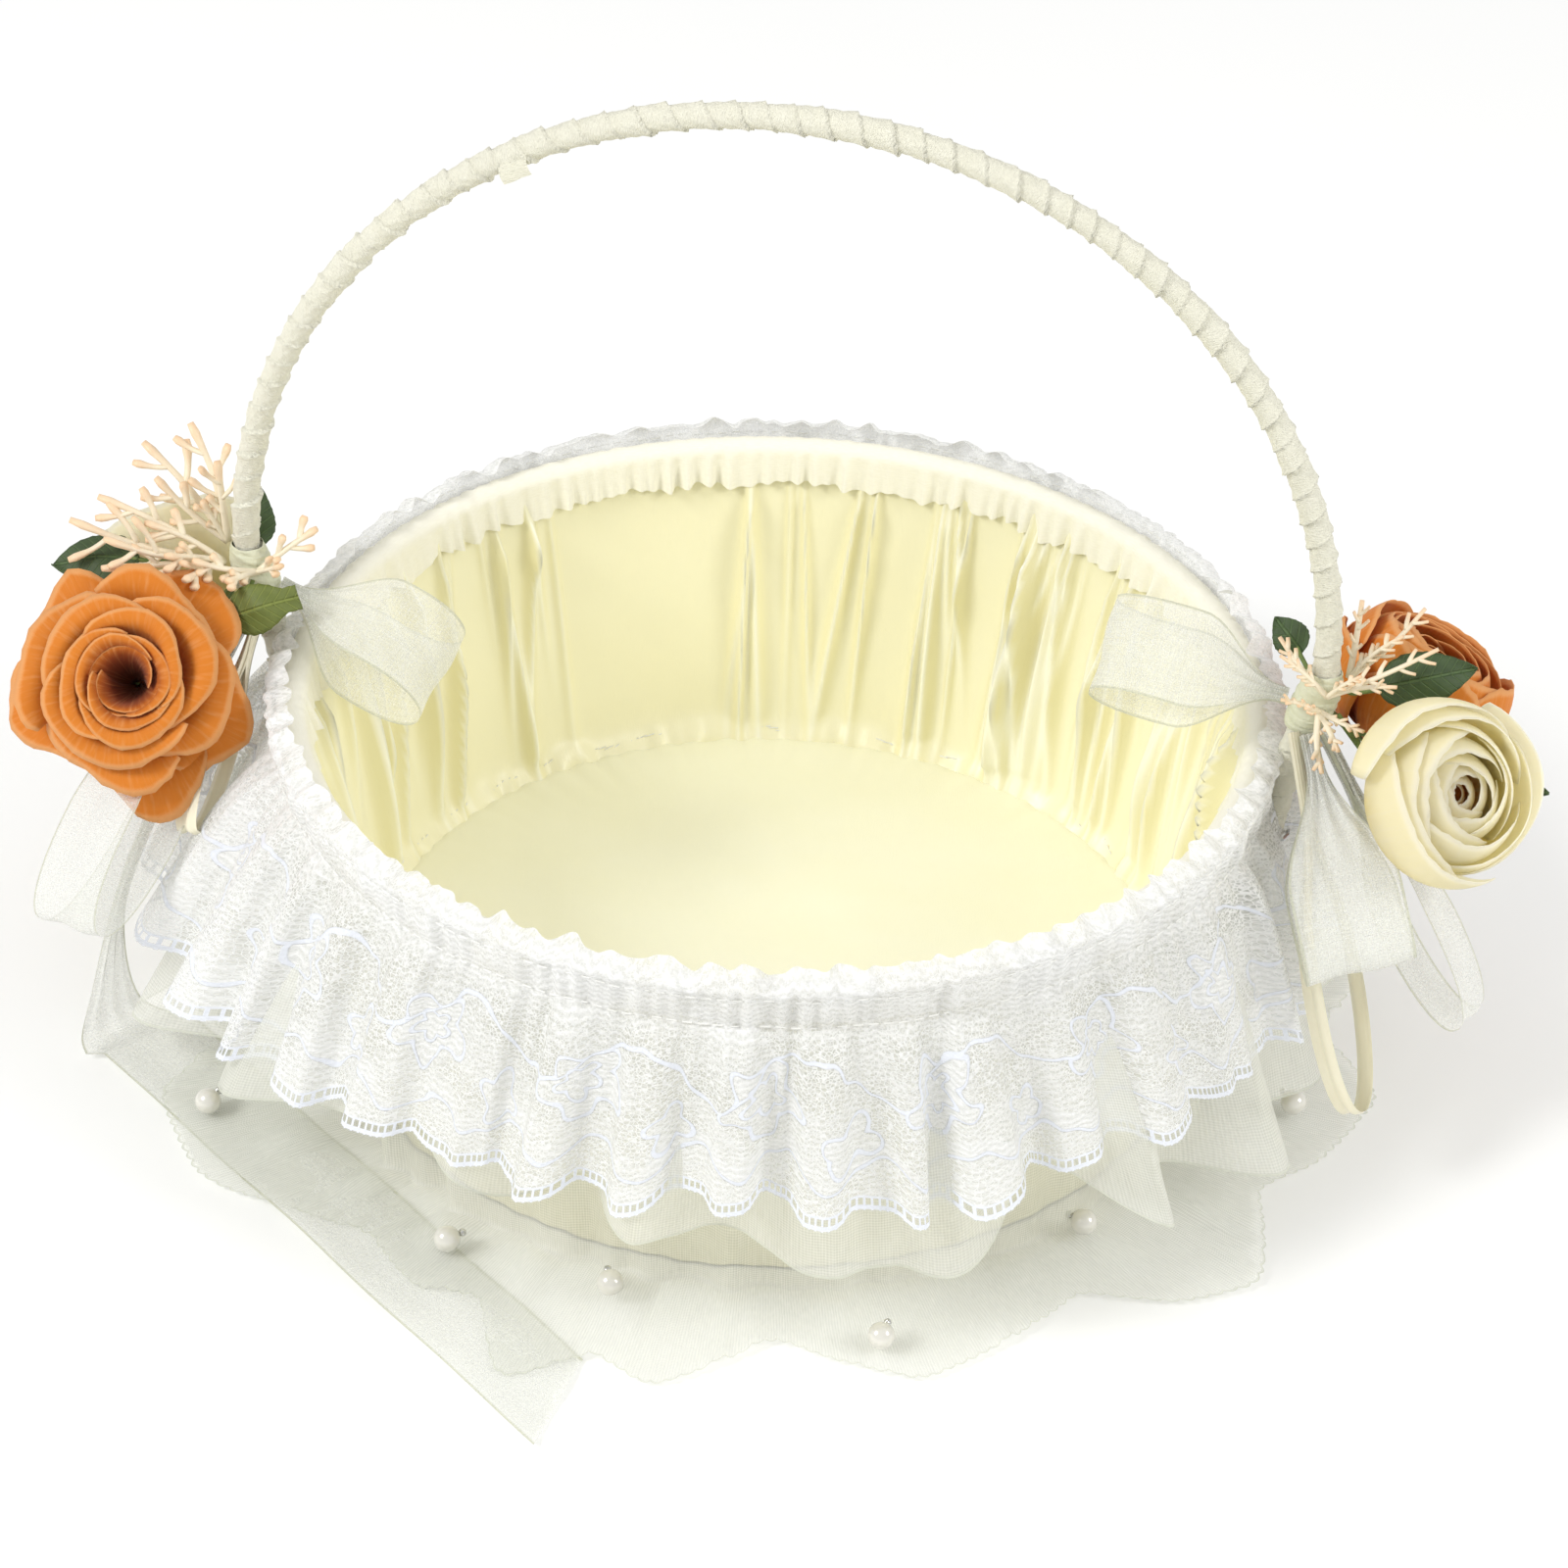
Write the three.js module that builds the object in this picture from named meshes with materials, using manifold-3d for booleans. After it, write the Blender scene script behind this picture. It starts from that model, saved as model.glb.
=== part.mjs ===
// Flower girl basket: a round satin-lined tub with gathered lace and organza skirts, a fixed wrapped
// handle, twelve sewn pearls and a flower and ribbon cluster on each side of the handle.
// Millimetres, +Z up. The origin is the middle of the underside. The handle stands in the XZ plane.

import * as THREE from 'three';
import { mergeVertices } from 'three/addons/utils/BufferGeometryUtils.js';
import Module from 'manifold-3d';

const wasm = await Module();
wasm.setup();

// Fits between pieces.
const GAP = 0.3;
const WRAP_CLEARANCE = 0.5;
const STAPLE_CLEARANCE = 0.5;
const NOTCH_CLEARANCE = 0.8;
const TAPE_CLEARANCE = 0.8;
const RING_SEGMENTS = 48;

// Tub: a stiff board wall that leans out, on a board base.
const BASE_RADIUS = 98;
const WALL_LEAN = 0.155;
const WALL_HEIGHT = 82;
const WALL_THICKNESS = 2;
const BASE_THICKNESS = 3;
const SATIN_THICKNESS = 0.8;
const LINING_THICKNESS = 1.5;
const HOOP_WIRE_RADIUS = 1.8;
const PAD_THICKNESS = 5;
const PAD_EDGE = 1;
const COVER_DROP = 2;

// Rim band: a folded strip over the hoop.
const BAND_HEIGHT = 9;
const BAND_TOP = 1.0;

// Skirts, sewn round the wall just under the rim. Each hem spreads beyond the base.
const HEADING_DROP = 6;
const SKIRT_THICKNESS = 0.8;
const LACE_STAND_UP = 5;
const LACE_FLARE = 2.5;
const LACE_STEP = 0.5;
const LACE_SPREAD = 30;
const LACE_HEM_HEIGHT = 38;
const ORGANZA_SPREAD = 34;
const ORGANZA_HEM_HEIGHT = 14;
const PETAL_FOLD_SPREAD = 10;
const PETAL_SPREAD = 45;
const PETAL_HEM_WAVE = 7;
const PETAL_COUNT = 12;
const PETAL_LIFT = 0.9;
const SLOT_DEPTH = 20;

// Handle: a cane hoop wrapped with crepe ribbon, its legs lying on the wall.
const HANDLE_BULGE = 5.8;
const HANDLE_SPRING = 25.2;
const HANDLE_RISE = 120;
const CANE_RADIUS = 1.9;
const WRAP_THICKNESS = 0.8;
const LEG_DROP = 49;
const CANE_SHOWING = 2;
const SLOT_BELOW_LEG = 3;
const HANDLE_STEPS = 48;
const HANDLE_TOP_SHARE = 0.72;
const ROD_SIDES = 8;

// Staples that hold the legs to the wall, by their drop below the wall's top.
const STAPLE_WIRE_RADIUS = 0.5;
const STAPLE_BEND = 1.5;
const STAPLE_DROPS = { upper: 16, lower: 36 };
const STAPLE_STEPS = 14;
const WIRE_SIDES = 6;

// Pearls, each near the tip of a petal: angle in degrees from +X and distance beyond the base.
const PEARL_RADIUS = 3;
const PEARL_PLACES = [
  [-148.4, 39], [-115.9, 22], [-97, 18], [-68.8, 31], [-40.9, 14], [-9.4, 30],
  [21, 36], [52, 24], [83, 32], [113, 38], [144, 26], [172, 33],
];

// Clusters: florist's tape round each leg, just above the rim.
const TAPE_ABOVE_RIM = 7.8;
const TAPE_LENGTH = 15;
const TAPE_THICKNESS = 1.1;
const TAPE_SIDES = 10;
const STEM_RADIUS = 0.8;
const CALYX_RADIUS = 7;
const CALYX_DEPTH = 5;
const LEAF_THICKNESS = 0.8;
const TWIG_RADIUS = 0.7;
const ORGANZA_WIDTH = 25;
const SIDE_LOOP_WIDTH = 12;
const SATIN_WIDTH = 6;
const RIBBON_THICKNESS = 0.5;
const NECK_THICKNESS = 1.2;
const NECK_SEAM = 3;
const LOOP_POINTS = 16;

// A flower head's outline from its back to its dimple, as shares of its radius.
const HEAD_BACK = -0.55;
const HEAD_OUTLINE = [
  [0.85, -0.2], [1, 0.12], [0.9, 0.36], [0.6, 0.52], [0.3, 0.55], [0.2, 0.4], [0, 0.36],
];
const HEAD_SIDES = 14;

// A leaf is widest a third of the way along.
const LEAF_BELLY = 0.35;
const LEAF_FULLNESS = 0.9;

// Side twigs: where they leave the branch, which way they lean, their length and their lean.
const TWIG_FORKS = [[0.45, 1], [0.7, -1]];
const TWIG_REACH = 0.22;
const TWIG_LEAN = 0.2;
const TWIG_FOOT_SHARE = 1.3;
const TWIG_TIP_SHARE = 0.7;
const TWIG_SIDES = 4;

// A ribbon loop reaches its full width this far from neck to tip.
const LOOP_OPENING = 0.6;

const UP = new THREE.Vector3(0, 0, 1);

const BOARD = { color: 0xcbb894, roughness: 0.9, metalness: 0 };
const STEEL = { color: 0xb9bcc0, roughness: 0.35, metalness: 1 };
const SATIN = { color: 0xf6f3ce, roughness: 0.35, metalness: 0 };
const FOAM = { color: 0xf2efe4, roughness: 0.95, metalness: 0 };
const LACE = { color: 0xf2f3f6, roughness: 0.8, metalness: 0 };
const ORGANZA = { color: 0xf1f1e2, roughness: 0.5, metalness: 0 };
const CANE = { color: 0xc9a66b, roughness: 0.7, metalness: 0 };
const CREPE = { color: 0xe8edde, roughness: 0.75, metalness: 0 };
const PEARL = { color: 0xece8dc, roughness: 0.2, metalness: 0.1 };
const ORANGE_SILK = { color: 0xe89027, roughness: 0.7, metalness: 0 };
const IVORY_SILK = { color: 0xe6e2c0, roughness: 0.7, metalness: 0 };
const LEAF_GREEN = { color: 0x45592f, roughness: 0.6, metalness: 0 };
const CALYX_GREEN = { color: 0x5d7540, roughness: 0.6, metalness: 0 };
const TWIG = { color: 0xf0d9b4, roughness: 0.5, metalness: 0 };
const TAPE = { color: 0x7c8a5a, roughness: 0.8, metalness: 0 };

const basket = new THREE.Group();

function addPiece(name, geometry, finish) {
  const mesh = new THREE.Mesh(geometry, new THREE.MeshStandardMaterial(finish));
  mesh.name = name;
  basket.add(mesh);
  return mesh;
}

// Booleans.

function toSolid(geometry) {
  const bare = geometry.clone();
  bare.deleteAttribute('normal');
  bare.deleteAttribute('uv');
  const merged = mergeVertices(bare);
  const corners = merged.index.array;
  const kept = [];
  for (let i = 0; i < corners.length; i += 3) {
    const [a, b, c] = corners.slice(i, i + 3);
    if (a !== b && b !== c && c !== a) {
      kept.push(a, b, c);
    }
  }
  return new wasm.Manifold(new wasm.Mesh({
    numProp: 3,
    vertProperties: merged.attributes.position.array,
    triVerts: Uint32Array.from(kept),
  }));
}

function toGeometry(solid) {
  const mesh = solid.getMesh();
  const geometry = new THREE.BufferGeometry();
  geometry.setAttribute('position', new THREE.BufferAttribute(mesh.vertProperties, 3));
  geometry.setIndex(new THREE.BufferAttribute(mesh.triVerts, 1));
  geometry.computeVertexNormals();
  return geometry;
}

function joined(geometries) {
  const solids = geometries.map(toSolid);
  return toGeometry(solids.reduce((whole, next) => whole.add(next)));
}

function cutBy(geometry, cutters) {
  const cutterSolids = cutters.map(toSolid);
  return toGeometry(cutterSolids.reduce((rest, cutter) => rest.subtract(cutter), toSolid(geometry)));
}

// Rings and discs, turned about the Z axis from [radius, height] corners.

function turned(corners, segments = RING_SEGMENTS) {
  const points = corners.map(([radius, height]) => new THREE.Vector2(radius, height));
  return new THREE.LatheGeometry(points, segments).rotateX(Math.PI / 2);
}

function turnedRing(corners) {
  return turned([...corners, corners[0]]);
}

// A skirt section from its outer face, listed from hem to heading, with its thickness taken inwards.
function skirt(outerFace) {
  const innerFace = outerFace.map(([radius, height]) => [radius - SKIRT_THICKNESS, height]);
  return turnedRing([...outerFace, ...innerFace.reverse()]);
}

function wallOuter(height) {
  return BASE_RADIUS + WALL_LEAN * height;
}

// Tub.

const WALL_BOTTOM = SATIN_THICKNESS + GAP;
const WALL_TOP = WALL_HEIGHT;
const FLOOR = WALL_BOTTOM + BASE_THICKNESS + GAP;
const COVER_TOP = WALL_TOP - COVER_DROP;
const LINING_INSET = WALL_THICKNESS + GAP + LINING_THICKNESS;
const PAD_COVER_RADIUS = wallOuter(FLOOR) - LINING_INSET - GAP;
const PAD_RADIUS = PAD_COVER_RADIUS - SATIN_THICKNESS - GAP;
const HOOP_HEIGHT = WALL_TOP + GAP + HOOP_WIRE_RADIUS;
const HOOP_RADIUS = wallOuter(WALL_TOP) - WALL_THICKNESS / 2;
const RIM_HEIGHT = HOOP_HEIGHT + HOOP_WIRE_RADIUS + GAP + BAND_TOP;
const COVER_OUTER = GAP + SATIN_THICKNESS;
const BAND_OUTER = COVER_OUTER + GAP + SATIN_THICKNESS;

function baseBoard() {
  const radiusAt = (height) => wallOuter(height) - WALL_THICKNESS - GAP;
  const top = WALL_BOTTOM + BASE_THICKNESS;
  return turned([
    [0, WALL_BOTTOM], [radiusAt(WALL_BOTTOM), WALL_BOTTOM], [radiusAt(WALL_BOTTOM), top], [0, top],
  ]);
}

function tubWall() {
  return turnedRing([
    [wallOuter(WALL_BOTTOM) - WALL_THICKNESS, WALL_BOTTOM],
    [wallOuter(WALL_BOTTOM), WALL_BOTTOM],
    [wallOuter(WALL_TOP), WALL_TOP],
    [wallOuter(WALL_TOP) - WALL_THICKNESS, WALL_TOP],
  ]);
}

function wallCover() {
  return turned([
    [0, 0],
    [wallOuter(0) + COVER_OUTER, 0],
    [wallOuter(COVER_TOP) + COVER_OUTER, COVER_TOP],
    [wallOuter(COVER_TOP) + GAP, COVER_TOP],
    [wallOuter(SATIN_THICKNESS) + GAP, SATIN_THICKNESS],
    [0, SATIN_THICKNESS],
  ]);
}

function wallLining() {
  return turnedRing([
    [wallOuter(FLOOR) - LINING_INSET, FLOOR],
    [wallOuter(FLOOR) - LINING_INSET + LINING_THICKNESS, FLOOR],
    [wallOuter(WALL_TOP) - LINING_INSET + LINING_THICKNESS, WALL_TOP],
    [wallOuter(WALL_TOP) - LINING_INSET, WALL_TOP],
  ]);
}

function padFoam() {
  const top = FLOOR + PAD_THICKNESS;
  return turned([
    [0, FLOOR], [PAD_RADIUS, FLOOR], [PAD_RADIUS, top - PAD_EDGE], [PAD_RADIUS - PAD_EDGE, top], [0, top],
  ]);
}

function padCover() {
  const under = FLOOR + PAD_THICKNESS + GAP;
  const top = under + SATIN_THICKNESS;
  const inner = PAD_COVER_RADIUS - SATIN_THICKNESS;
  return turned([
    [0, under], [inner, under], [inner, FLOOR], [PAD_COVER_RADIUS, FLOOR],
    [PAD_COVER_RADIUS, top - PAD_EDGE], [PAD_COVER_RADIUS - PAD_EDGE, top], [0, top],
  ]);
}

function rimBand() {
  const bottom = RIM_HEIGHT - BAND_HEIGHT;
  const under = RIM_HEIGHT - BAND_TOP;
  const innerLeg = (height) => wallOuter(height) - LINING_INSET - GAP;
  const outerLeg = (height) => wallOuter(height) + COVER_OUTER + GAP;
  return turnedRing([
    [outerLeg(bottom), bottom],
    [outerLeg(bottom) + SATIN_THICKNESS, bottom],
    [outerLeg(RIM_HEIGHT) + SATIN_THICKNESS, RIM_HEIGHT],
    [innerLeg(WALL_TOP) - SATIN_THICKNESS, RIM_HEIGHT],
    [innerLeg(bottom) - SATIN_THICKNESS, bottom],
    [innerLeg(bottom), bottom],
    [innerLeg(WALL_TOP), under],
    [outerLeg(under), under],
  ]);
}

// Skirts.

const HEADING_HEIGHT = WALL_HEIGHT - HEADING_DROP;
const PETAL_FOLD_RADIUS = BASE_RADIUS + PETAL_FOLD_SPREAD;
const PETAL_HEM_RADIUS = BASE_RADIUS + PETAL_SPREAD;
const PETAL_HEADING = COVER_OUTER + GAP + SKIRT_THICKNESS;
const ORGANZA_HEADING = PETAL_HEADING + GAP + SKIRT_THICKNESS;
const LACE_HEADING = ORGANZA_HEADING + GAP + SKIRT_THICKNESS;
const LACE_ON_BAND = BAND_OUTER + GAP + SKIRT_THICKNESS;

function laceRuffle() {
  const bandBottom = RIM_HEIGHT - BAND_HEIGHT;
  const top = RIM_HEIGHT + LACE_STAND_UP;
  return skirt([
    [BASE_RADIUS + LACE_SPREAD, LACE_HEM_HEIGHT],
    [wallOuter(HEADING_HEIGHT) + LACE_HEADING + LACE_STEP, HEADING_HEIGHT + LACE_STEP],
    [wallOuter(bandBottom) + LACE_ON_BAND, bandBottom],
    [wallOuter(RIM_HEIGHT) + LACE_ON_BAND, RIM_HEIGHT],
    [wallOuter(top) + LACE_ON_BAND + LACE_FLARE, top],
  ]);
}

function organzaRuffle() {
  return skirt([
    [BASE_RADIUS + ORGANZA_SPREAD, ORGANZA_HEM_HEIGHT],
    [wallOuter(HEADING_HEIGHT) + ORGANZA_HEADING, HEADING_HEIGHT],
  ]);
}

// The petals drop beside the wall and lie outwards on the ground, with a scalloped hem.
function petalRuffle() {
  const geometry = turnedRing([
    [PETAL_HEM_RADIUS, PETAL_LIFT],
    [PETAL_HEM_RADIUS, PETAL_LIFT + SKIRT_THICKNESS],
    [PETAL_FOLD_RADIUS, PETAL_LIFT + SKIRT_THICKNESS],
    [wallOuter(HEADING_HEIGHT) + PETAL_HEADING, HEADING_HEIGHT],
    [wallOuter(HEADING_HEIGHT) + PETAL_HEADING - SKIRT_THICKNESS, HEADING_HEIGHT],
    [PETAL_FOLD_RADIUS - SKIRT_THICKNESS, PETAL_LIFT],
  ]);
  const places = geometry.attributes.position;
  for (let i = 0; i < places.count; i += 1) {
    const x = places.getX(i);
    const y = places.getY(i);
    const radius = Math.hypot(x, y);
    if (radius > PETAL_HEM_RADIUS - SKIRT_THICKNESS) {
      const scale = 1 + PETAL_HEM_WAVE / radius * Math.cos(PETAL_COUNT * Math.atan2(y, x));
      places.setXY(i, x * scale, y * scale);
    }
  }
  return geometry;
}

// Handle.

const WRAP_BORE = CANE_RADIUS + WRAP_CLEARANCE;
const WRAP_RADIUS = WRAP_BORE + WRAP_THICKNESS;
const LEG_OFFSET = BAND_OUTER + GAP + WRAP_RADIUS;
const LEG_AT_RIM = wallOuter(RIM_HEIGHT) + LEG_OFFSET;
const LEG_END_HEIGHT = WALL_HEIGHT - LEG_DROP;
const HANDLE_HALF_WIDTH = LEG_AT_RIM + HANDLE_BULGE;
const HANDLE_SPRING_HEIGHT = RIM_HEIGHT + HANDLE_SPRING;

// Half-width of the handle's centreline where a leg passes a height below the arch.
function legX(height) {
  if (height <= RIM_HEIGHT) {
    return wallOuter(height) + LEG_OFFSET;
  }
  const share = Math.min((height - RIM_HEIGHT) / HANDLE_SPRING, 1);
  const lean = WALL_LEAN * HANDLE_SPRING;
  const squared = (3 * HANDLE_BULGE - 2 * lean) * share ** 2;
  const cubed = (lean - 2 * HANDLE_BULGE) * share ** 3;
  return LEG_AT_RIM + lean * share + squared + cubed;
}

class HandleLine extends THREE.Curve {
  constructor(endHeight) {
    super();
    this.endHeight = endHeight;
  }

  getPoint(t, target = new THREE.Vector3()) {
    const side = t < 0.5 ? -1 : 1;
    const share = Math.abs(2 * t - 1);
    if (share < HANDLE_TOP_SHARE) {
      const angle = (1 - share / HANDLE_TOP_SHARE) * Math.PI / 2;
      const x = HANDLE_HALF_WIDTH * Math.cos(angle);
      return target.set(side * x, 0, HANDLE_SPRING_HEIGHT + HANDLE_RISE * Math.sin(angle));
    }
    const down = (share - HANDLE_TOP_SHARE) / (1 - HANDLE_TOP_SHARE);
    const height = HANDLE_SPRING_HEIGHT + (this.endHeight - HANDLE_SPRING_HEIGHT) * down;
    return target.set(side * legX(height), 0, height);
  }
}

class LegLine extends THREE.Curve {
  constructor(side, bottom, top) {
    super();
    Object.assign(this, { side, bottom, top });
  }

  getPoint(t, target = new THREE.Vector3()) {
    const height = this.bottom + (this.top - this.bottom) * t;
    return target.set(this.side * legX(height), 0, height);
  }
}

function circlePoints(radius, sides) {
  return Array.from({ length: sides }, (_, i) => {
    const angle = i / sides * 2 * Math.PI;
    return new THREE.Vector2(radius * Math.cos(angle), radius * Math.sin(angle));
  });
}

function tube(path, steps, sides, radius, boreRadius = 0) {
  const section = new THREE.Shape(circlePoints(radius, sides));
  if (boreRadius > 0) {
    section.holes.push(new THREE.Path(circlePoints(boreRadius, sides)));
  }
  return new THREE.ExtrudeGeometry(section, { steps, extrudePath: path, bevelEnabled: false });
}

const STAPLE_HALF_WIDTH = WRAP_RADIUS + STAPLE_CLEARANCE + STAPLE_WIRE_RADIUS;
const NOTCH_HALF_WIDTH = STAPLE_HALF_WIDTH + STAPLE_WIRE_RADIUS + NOTCH_CLEARANCE;

function stapleLine(side, height) {
  const prongEnd = side * (wallOuter(height) - WALL_THICKNESS + GAP);
  const crown = side * (legX(height) + STAPLE_HALF_WIDTH);
  const shoulder = crown - side * STAPLE_BEND;
  const inner = STAPLE_HALF_WIDTH - STAPLE_BEND;
  const corner = (sign) => new THREE.Vector3(crown, sign * STAPLE_HALF_WIDTH, height);
  const path = new THREE.CurvePath();
  path.add(new THREE.LineCurve3(
    new THREE.Vector3(prongEnd, -STAPLE_HALF_WIDTH, height),
    new THREE.Vector3(shoulder, -STAPLE_HALF_WIDTH, height),
  ));
  path.add(new THREE.QuadraticBezierCurve3(
    new THREE.Vector3(shoulder, -STAPLE_HALF_WIDTH, height), corner(-1),
    new THREE.Vector3(crown, -inner, height),
  ));
  path.add(new THREE.LineCurve3(
    new THREE.Vector3(crown, -inner, height), new THREE.Vector3(crown, inner, height),
  ));
  path.add(new THREE.QuadraticBezierCurve3(
    new THREE.Vector3(crown, inner, height), corner(1),
    new THREE.Vector3(shoulder, STAPLE_HALF_WIDTH, height),
  ));
  path.add(new THREE.LineCurve3(
    new THREE.Vector3(shoulder, STAPLE_HALF_WIDTH, height),
    new THREE.Vector3(prongEnd, STAPLE_HALF_WIDTH, height),
  ));
  return path;
}

// Clearance holes for every staple prong, through cover and wall.
function stapleHoles() {
  const length = 2 * (wallOuter(WALL_TOP) + LEG_OFFSET);
  const radius = STAPLE_WIRE_RADIUS + GAP;
  const holes = [];
  for (const drop of Object.values(STAPLE_DROPS)) {
    for (const sign of [-1, 1]) {
      const hole = new THREE.CylinderGeometry(radius, radius, length, ROD_SIDES);
      hole.rotateZ(Math.PI / 2).translate(0, sign * STAPLE_HALF_WIDTH, WALL_HEIGHT - drop);
      holes.push(hole);
    }
  }
  return holes;
}

// Slots in a skirt where both legs come up through it.
function legSlots(bottom) {
  const top = RIM_HEIGHT + 2 * LACE_STAND_UP;
  const length = 2 * (wallOuter(top) + 2 * LEG_OFFSET);
  const slot = new THREE.BoxGeometry(length, 2 * NOTCH_HALF_WIDTH, top - bottom);
  return [slot.translate(0, 0, (top + bottom) / 2)];
}

const OUTER_SLOT_BOTTOM = HEADING_HEIGHT - SLOT_DEPTH;
const PETAL_SLOT_BOTTOM = LEG_END_HEIGHT - SLOT_BELOW_LEG;

addPiece('base_board', baseBoard(), BOARD);
addPiece('tub_wall', cutBy(tubWall(), stapleHoles()), BOARD);
addPiece('rim_hoop', new THREE.TorusGeometry(HOOP_RADIUS, HOOP_WIRE_RADIUS, WIRE_SIDES, RING_SEGMENTS)
  .rotateZ(Math.PI / 2).translate(0, 0, HOOP_HEIGHT), STEEL);
addPiece('satin_wall_cover', cutBy(wallCover(), stapleHoles()), SATIN);
addPiece('satin_wall_lining', wallLining(), SATIN);
addPiece('floor_pad_foam', padFoam(), FOAM);
addPiece('floor_pad_cover', padCover(), SATIN);
addPiece('rim_band', rimBand(), LACE);
addPiece('lace_ruffle', cutBy(laceRuffle(), legSlots(OUTER_SLOT_BOTTOM)), LACE);
addPiece('organza_ruffle', cutBy(organzaRuffle(), legSlots(OUTER_SLOT_BOTTOM)), ORGANZA);
addPiece('petal_ruffle', cutBy(petalRuffle(), legSlots(PETAL_SLOT_BOTTOM)), ORGANZA);
addPiece('handle_core', tube(new HandleLine(LEG_END_HEIGHT), HANDLE_STEPS, ROD_SIDES, CANE_RADIUS), CANE);
addPiece('handle_wrap', tube(
  new HandleLine(LEG_END_HEIGHT + CANE_SHOWING), HANDLE_STEPS, ROD_SIDES, WRAP_RADIUS, WRAP_BORE,
), CREPE);

for (const [sideName, side] of [['left', -1], ['right', 1]]) {
  for (const [level, drop] of Object.entries(STAPLE_DROPS)) {
    const line = stapleLine(side, WALL_HEIGHT - drop);
    addPiece(`${sideName}_${level}_staple`, tube(line, STAPLE_STEPS, WIRE_SIDES, STAPLE_WIRE_RADIUS), STEEL);
  }
}

// Pearls rest on the petals.
PEARL_PLACES.forEach(([angle, spread], i) => {
  const turn = THREE.MathUtils.degToRad(angle);
  const distance = BASE_RADIUS + spread;
  const height = PETAL_LIFT + SKIRT_THICKNESS + GAP + PEARL_RADIUS;
  const pearl = addPiece(
    `pearl_${String(i + 1).padStart(2, '0')}`, new THREE.SphereGeometry(PEARL_RADIUS, 8, 6), PEARL,
  );
  pearl.rotation.x = Math.PI / 2;
  pearl.position.set(distance * Math.cos(turn), distance * Math.sin(turn), height);
});

// Clusters. Places are [outwards, back, up] from where the leg passes the rim, alike on both sides.
// Every stem, twig and ribbon ends on the tape, at [angle from straight outwards, height above the rim].

const TAPE_BORE = WRAP_RADIUS + TAPE_CLEARANCE;
const TAPE_RADIUS = TAPE_BORE + TAPE_THICKNESS;

function onTape(side, degrees, aboveRim) {
  const angle = THREE.MathUtils.degToRad(degrees);
  const reach = TAPE_RADIUS + STEM_RADIUS + GAP;
  const height = RIM_HEIGHT + aboveRim;
  const x = side * (legX(height) + reach * Math.cos(angle));
  return new THREE.Vector3(x, -reach * Math.sin(angle), height);
}

function vector([x, y, z]) {
  return new THREE.Vector3(x, y, z);
}

function place(side, [outwards, back, up]) {
  return new THREE.Vector3(side * (LEG_AT_RIM + outwards), back, RIM_HEIGHT + up);
}

// Turns a geometry made along +Z to look along a direction, then moves it to a place.
function aimed(geometry, direction, spot) {
  const turn = new THREE.Quaternion().setFromUnitVectors(UP, direction.clone().normalize());
  return geometry.applyQuaternion(turn).translate(spot.x, spot.y, spot.z);
}

// A rod from one point to another that may taper.
function rod(from, to, startRadius, endRadius, sides = 5) {
  const along = to.clone().sub(from);
  const length = along.length();
  const geometry = new THREE.CylinderGeometry(endRadius, startRadius, length, sides).rotateX(Math.PI / 2);
  return aimed(geometry.translate(0, 0, length / 2), along, from);
}

// A flower head as an open bud: a round-backed body with a dimple where the petals meet.
function flowerHead(radius) {
  const back = HEAD_BACK * radius;
  const outline = HEAD_OUTLINE.map(([out, up]) => [out * radius, up * radius]);
  return turned([[0, back], [CALYX_RADIUS + STEM_RADIUS, back], ...outline], HEAD_SIDES);
}

function addFlower(name, finish, side, { middle, facing, radius, tape }) {
  const centre = place(side, middle);
  const direction = vector(facing).normalize();
  const top = HEAD_BACK * radius - GAP;
  const stemStart = centre.clone().addScaledVector(direction, top - CALYX_DEPTH + STEM_RADIUS);
  const bend = centre.clone().addScaledVector(direction, top - 2 * CALYX_DEPTH);
  const calyx = turned([
    [0, top - CALYX_DEPTH], [2 * STEM_RADIUS, top - CALYX_DEPTH], [CALYX_RADIUS, top], [0, top],
  ], TAPE_SIDES);
  const line = new THREE.QuadraticBezierCurve3(stemStart, bend, onTape(side, ...tape));
  addPiece(name, aimed(flowerHead(radius), direction, centre), finish);
  addPiece(`${name}_calyx`, joined([
    aimed(calyx, direction, centre), tube(line, WIRE_SIDES, WIRE_SIDES, STEM_RADIUS),
  ]), CALYX_GREEN);
}

// A flat pointed leaf with its stalk, between its stalk's end on the tape, its foot and its tip.
function addLeaf(name, side, { foot, tip, width, face, tape }) {
  const from = place(side, foot);
  const along = place(side, tip).sub(from);
  const length = along.length();
  const across = new THREE.Vector3().crossVectors(vector(face), along).normalize();
  const outline = new THREE.Shape();
  outline.moveTo(0, 0);
  outline.quadraticCurveTo(LEAF_BELLY * length, LEAF_FULLNESS * width, length, 0);
  outline.quadraticCurveTo(LEAF_BELLY * length, -LEAF_FULLNESS * width, 0, 0);
  const blade = new THREE.ExtrudeGeometry(outline, {
    depth: LEAF_THICKNESS, bevelEnabled: false, curveSegments: WIRE_SIDES,
  }).translate(0, 0, -LEAF_THICKNESS / 2);
  const lengthways = along.clone().normalize();
  const normal = new THREE.Vector3().crossVectors(lengthways, across);
  blade.applyMatrix4(new THREE.Matrix4().makeBasis(lengthways, across, normal).setPosition(from));
  const overlap = from.clone().addScaledVector(lengthways, 2 * STEM_RADIUS);
  addPiece(name, joined([blade, rod(onTape(side, ...tape), overlap, STEM_RADIUS, STEM_RADIUS)]), LEAF_GREEN);
}

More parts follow.
